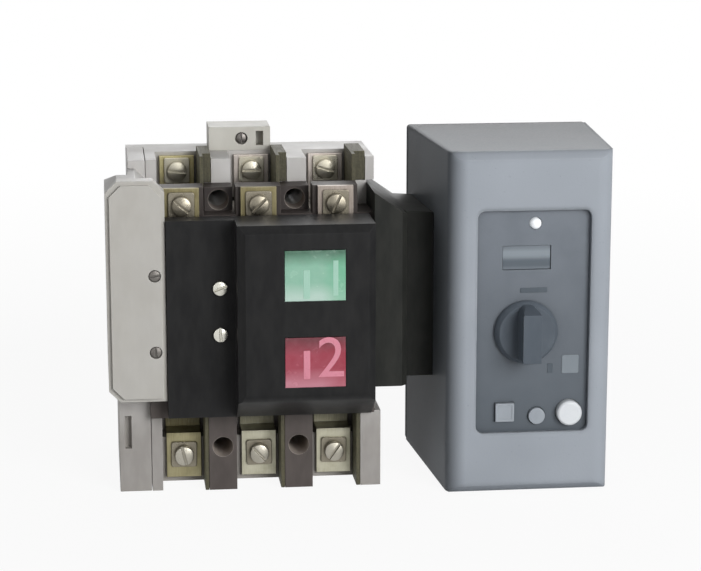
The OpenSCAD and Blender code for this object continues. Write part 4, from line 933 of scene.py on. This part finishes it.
# %% A tree that sets fasteners in a row
ROW_INPUTS = (("Fastener", "Object"), ("Count", "Int"), ("First place", "Vector"),
              ("Step", "Vector"), ("Tilt", "Float"), ("Turn spread", "Float"),
              ("Seed", "Int"), ("Material", "Material"))
row_tree = bpy.data.node_groups.new("fastener_row", "GeometryNodeTree")
for title, kind in ROW_INPUTS:
    row_tree.interface.new_socket(title, in_out="INPUT", socket_type="NodeSocket" + kind)
row_tree.interface.new_socket("Geometry", in_out="OUTPUT", socket_type="NodeSocketGeometry")
given = put_node(row_tree, "NodeGroupInput").outputs
line = output(row_tree, "GeometryNodeMeshLine", {
    "Count": given["Count"], "Start Location": given["First place"],
    "Offset": given["Step"]}, mode="OFFSET")
least = output(row_tree, "ShaderNodeMath", {0: given["Turn spread"], 1: -1.0},
               operation="MULTIPLY")
turn = output(row_tree, "FunctionNodeRandomValue", {
    2: least, 3: given["Turn spread"], "Seed": given["Seed"]}, 1, data_type="FLOAT")
attitude = output(row_tree, "ShaderNodeCombineXYZ", {0: given["Tilt"], 1: turn})
shape = output(row_tree, "GeometryNodeObjectInfo", {"Object": given["Fastener"]}, "Geometry")
placed = output(row_tree, "GeometryNodeInstanceOnPoints", {
    "Points": line, "Instance": shape, "Rotation": attitude})
whole = output(row_tree, "GeometryNodeRealizeInstances", {"Geometry": placed})
dressed = output(row_tree, "GeometryNodeSetMaterial", {
    "Geometry": whole, "Material": given["Material"]})
put_node(row_tree, "NodeGroupOutput", {"Geometry": dressed})
print("row tree has", len(row_tree.nodes), "nodes")

# %% [markdown]
# A modifier's inputs are set by the identifier of each socket before Blender
# first evaluates the object. The first and the last fastener of a row come
# from the box of the solids that they stand for, so nothing is placed by eye.

# %% Helpers that set out a row
def set_row(name, fastener, count, first, last, material, slot, tilt=90.0, spread=180.0,
            seed=3):
    """A row of fasteners from first to last, in metres, as one plain mesh on the frame."""
    values = {"Fastener": FASTENERS[fastener], "Count": count, "First place": first,
              "Step": (last - first) / max(count - 1, 1), "Tilt": math.radians(tilt),
              "Turn spread": math.radians(spread), "Seed": seed, "Material": material}
    row = in_scene(name, bpy.data.meshes.new(name))
    nodes = row.modifiers.new("row", "NODES")
    nodes.node_group = row_tree
    for item in row_tree.interface.items_tree:
        if item.in_out == "INPUT":
            nodes[item.identifier] = values[item.name]
    plain = row.evaluated_get(bpy.context.evaluated_depsgraph_get())
    row_mesh = bpy.data.meshes.new_from_object(plain)
    row.modifiers.clear()
    row.data = row_mesh
    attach(row, "frame")
    return row


def row_ends(node, reach, height):
    """Where the first and the last seat of a node's fasteners are, from its box."""
    low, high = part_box(node)
    seat = low.y + height * MM
    return (Vector((low.x + reach * MM, seat, low.z + reach * MM)),
            Vector((high.x - reach * MM, seat, high.z - reach * MM)))


print("row helpers ready")

# %% [markdown]
# The three rows of terminals are clamped alike, but they differ in tone: the
# back row is bright, as painted light for a row that lies in shade, and the one
# in front of it is dull. So each row gets its own nickel, and its own seed,
# because the slots of two rows never stand at the same angles. The square
# washers are turned by a degree or so at most.

# %% The terminal rows
POLES = 3
WASHER_PLAY = 1.5


def nickel(name, colour, tarnish, bright):
    return metal(name, colour, tarnish, bright, clouds=0.35, streaks=None)


def terminal_row(node, name, screw_finish, washer_finish, seed):
    stack = WASHER_THICK + SPRING_ROOM + TERMINAL_RISE
    first, last = row_ends(node, WASHER_HALF, stack)
    screws = set_row(name + "_screw_row", "terminal_screw", POLES, first, last, screw_finish,
                     "screw_nickel", seed=seed)
    set_row(name + "_clamp_washers", "terminal_washer", POLES, first, last, washer_finish,
            "screw_nickel", spread=WASHER_PLAY, seed=seed)
    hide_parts(node)


# The back row's nickel is made paler than the others, as painted light.
nickel_with_painted_light = nickel("nickel_with_painted_light", 0xcac5b4, 0x98917c, 0xe8e4d6)
dull_nickel = nickel("dull_nickel", 0x847e70, 0x5c5646, 0xb0aa9c)
load_nickel = nickel("load_nickel", 0xa8a498, 0x767060, 0xcecac0)
terminal_row("source_1_screws", "source_1", nickel_with_painted_light, nickel_with_painted_light, 5)
terminal_row("source_2_screws", "source_2", dull_nickel, dull_nickel, 11)
terminal_row("load_screws", "load", load_nickel, dull_nickel, 4)
print("three rows of terminals clamped")

# %% [markdown]
# The small screws hold the covers, the control block and the operator. A pair
# is a row of two, so the same tree sets them out. Those of the operator's case
# go in from behind, so their tilt is turned round. The two inside it hold the
# foot of the gear plate, and are placed from its box.

# %% The small screws
def screw_row(node, name, fastener, count, finish, seed):
    head, rise = SMALL_SCREWS[fastener][:2]
    first, last = row_ends(node, head, rise)
    row = set_row(name, fastener, count, first, last, FINISHES[finish], finish, seed=seed)
    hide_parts(node)


def dark_pair(name, fastener, x, low, high, reach, seat, **turned):
    """Two dark screws, one above the other, that far inside a box's foot and top."""
    return set_row(name, fastener, 2, Vector((x, seat, low.z + reach)),
                   Vector((x, seat, high.z - reach)), FINISHES["screw_dark"], "screw_dark",
                   **turned)


screw_row("front_cover_screws", "cover_screw_pair", "cover_screw", 2, "screw_nickel", 7)
screw_row("side_cover_screws", "side_screw_pair", "side_screw", 2, "screw_dark", 2)
screw_row("control_block_screw", "control_screw", "case_screw", 1, "screw_dark", 8)

CASE_REACH, CASE_SEAT = SMALL_SCREWS["case_screw"][0] * MM, -2.0 * MM
GEAR_REACH, GEAR_SEAT = 5.0 * MM, -6.0 * MM
low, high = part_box("operator_screws")
for side, x in (("left", low.x + CASE_REACH), ("right", high.x - CASE_REACH)):
    row = dark_pair("case_screws_" + side, "case_screw", x, low, high, CASE_REACH, CASE_SEAT,
                    tilt=-90.0)
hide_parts("operator_screws")
low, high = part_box("gear_plate")
dark_pair("gearbox_screws", "gear_screw", high.x - GEAR_REACH, low, high, GEAR_REACH, GEAR_SEAT)
for fastener in FASTENERS.values():
    bpy.data.objects.remove(fastener)
print("small screws set out")

# %% [markdown]
# Printed and stuck marks are thin, but they are pieces all the same: drawn in
# a material they would lose their edges in a close view. Each is made lying
# down, then stood up against the face that carries it, at a place measured
# from the middle of a neighbour.

# %% Helpers for flat pieces
def facing(piece, near, shift, face, body, material):
    """Stands a flat piece up on the front of the node face, facing forwards, that
    many millimetres across and up from the middle of the node near."""
    middle = (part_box(near)[0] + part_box(near)[1]) / 2
    place = Vector((middle.x + shift[0] * MM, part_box(face)[0].y, middle.z + shift[1] * MM))
    piece.data.transform(Matrix.Translation(place) @ Matrix.Rotation(math.pi / 2, 4, "X"))
    piece.data.materials.clear()
    piece.data.materials.append(material)
    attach(piece, body)


def plate(name, half_w, half_h, corner, thick, rim=0.08):
    """A flat plate with rounded corners and a softened front rim."""
    solid = bmesh.new()
    skin(solid, [rounded_rect(half_w - inset, half_h - inset, corner, rise) for inset, rise in
                 ((0.0, 0.0), (0.0, thick - rim), (rim, thick))])
    return finished(name, solid)


def square_ring(name, half_w, corner, bar, thick):
    """A flat square ring with rounded corners."""
    solid = bmesh.new()
    outer = [rounded_rect(half_w, half_w, corner, rise) for rise in (0.0, thick)]
    inner_w = half_w - bar
    inner = [rounded_rect(inner_w, inner_w, 0.1, rise) for rise in (thick, 0.0)]
    skin(solid, outer + inner, wrapped=True)
    return finished(name, solid)


print("flat pieces ready")

# %% [markdown]
# Both position windows are printed: a stroke, and the number of the source
# that is connected. The numerals could be built point by point, but a text
# curve has their outlines already. It is turned into a mesh before it is put
# in place, so that the object itself stays at the origin. The ink is a thin
# layer, a tenth of a millimetre proud of the lens.

# %% The window marks
INK_THICK = 0.1
CAP_SHARE = 0.7


def numeral(name, words, height):
    """Lettering as a closed mesh, centred on the origin, its capitals that high."""
    data = bpy.data.curves.new(name, "FONT")
    data.body, data.size, data.extrude = words, height / CAP_SHARE * MM, INK_THICK / 2 * MM
    data.align_x, data.align_y, data.resolution_u = "CENTER", "CENTER", 4
    drawn = in_scene(name, data)
    bpy.context.view_layer.update()
    plain = drawn.evaluated_get(bpy.context.evaluated_depsgraph_get())
    lettering = bpy.data.meshes.new_from_object(plain)
    lettering.transform(Matrix.Translation((0, 0, INK_THICK / 2 * MM)))
    bpy.data.objects.remove(drawn)
    return in_scene(name, lettering)


def ink(name, colour, worn):
    """Screen ink: matt, with pinholes where the lens shows through."""
    f = Finish(name)
    pinholes = f.spread(f.noise(0.0009, 3.0, 0.7), 0.55, 0.72)
    return f.done(f.glaze(colour, pinholes, 0.6, worn), f.spread(pinholes, 0, 1, 0.45, 0.7))


STROKE_HALF_W, STROKE_HALF_H, STROKE_CORNER = 1.7, 7.6, 0.5
# Each window's ink, its stroke's shift, its number, and that one's height and shift.
WINDOW_MARKS = {
    "upper": (ink("pale_green_ink", 0xa4cebb, 0x90c4aa),
              (-4.5, -4.5), "1", 19.0, (10.6, -2.5)),
    "lower": (ink("pale_red_ink", 0xda8a9c, 0xbe5c72),
              (-4.5, -1.2), "2", 21.5, (8.2, 1.4))}
for end, (finish, stroke_shift, number, height, number_shift) in WINDOW_MARKS.items():
    stroke = plate(end + "_stroke", STROKE_HALF_W, STROKE_HALF_H, STROKE_CORNER, INK_THICK)
    for mark, shift in ((stroke, stroke_shift),
                        (numeral(end + "_numeral", number, height), number_shift)):
        facing(mark, end + "_window", shift, end + "_window", "frame", finish)
        print(mark.name, len(mark.data.polygons), "faces")

# %% [markdown]
# The facia carries a few shallow marks: a dark dash under the display, a pale
# bare label field above the test button, and an index mark beside the knob.
# They are plates a fifth of a millimetre thick rather than paint, so that their
# rims catch the light. The square key has a raised border, which rides on the
# key and sinks with it.

# %% Marks on the facia and the key
facia_dark = moulded("facia_mark", 0x586068, 0x464d54, 0x788086, rough=0.5, wear=0.2, shine=0.2)
label_pale = moulded("label_field", 0x8a9299, 0x70787f, 0xa4abb1, rough=0.55, wear=0.3,
                     shine=0.2)
# Each mark, the piece that its place is measured from, the shift and the finish.
for mark, near, shift, finish in (
        (plate("display_underline", 7.3, 1.3, 0.5, 0.2), "display_window", (4.0, -17.6),
         facia_dark),
        (plate("index_mark", 1.5, 2.6, 0.5, 0.2), "selector_knob", (13.6, -20.6), facia_dark),
        (plate("label_field", 4.6, 5.0, 0.8, 0.25), "test_button", (0.5, 26.4), label_pale)):
    facing(mark, near, shift, "facia", "frame", finish)
facing(square_ring("square_key_border", 5.0, 0.6, 1.1, 0.3), "square_key", (0.0, 0.0),
       "square_key", "square_push", FINISHES["key_grey"])
print("facia and key marked")
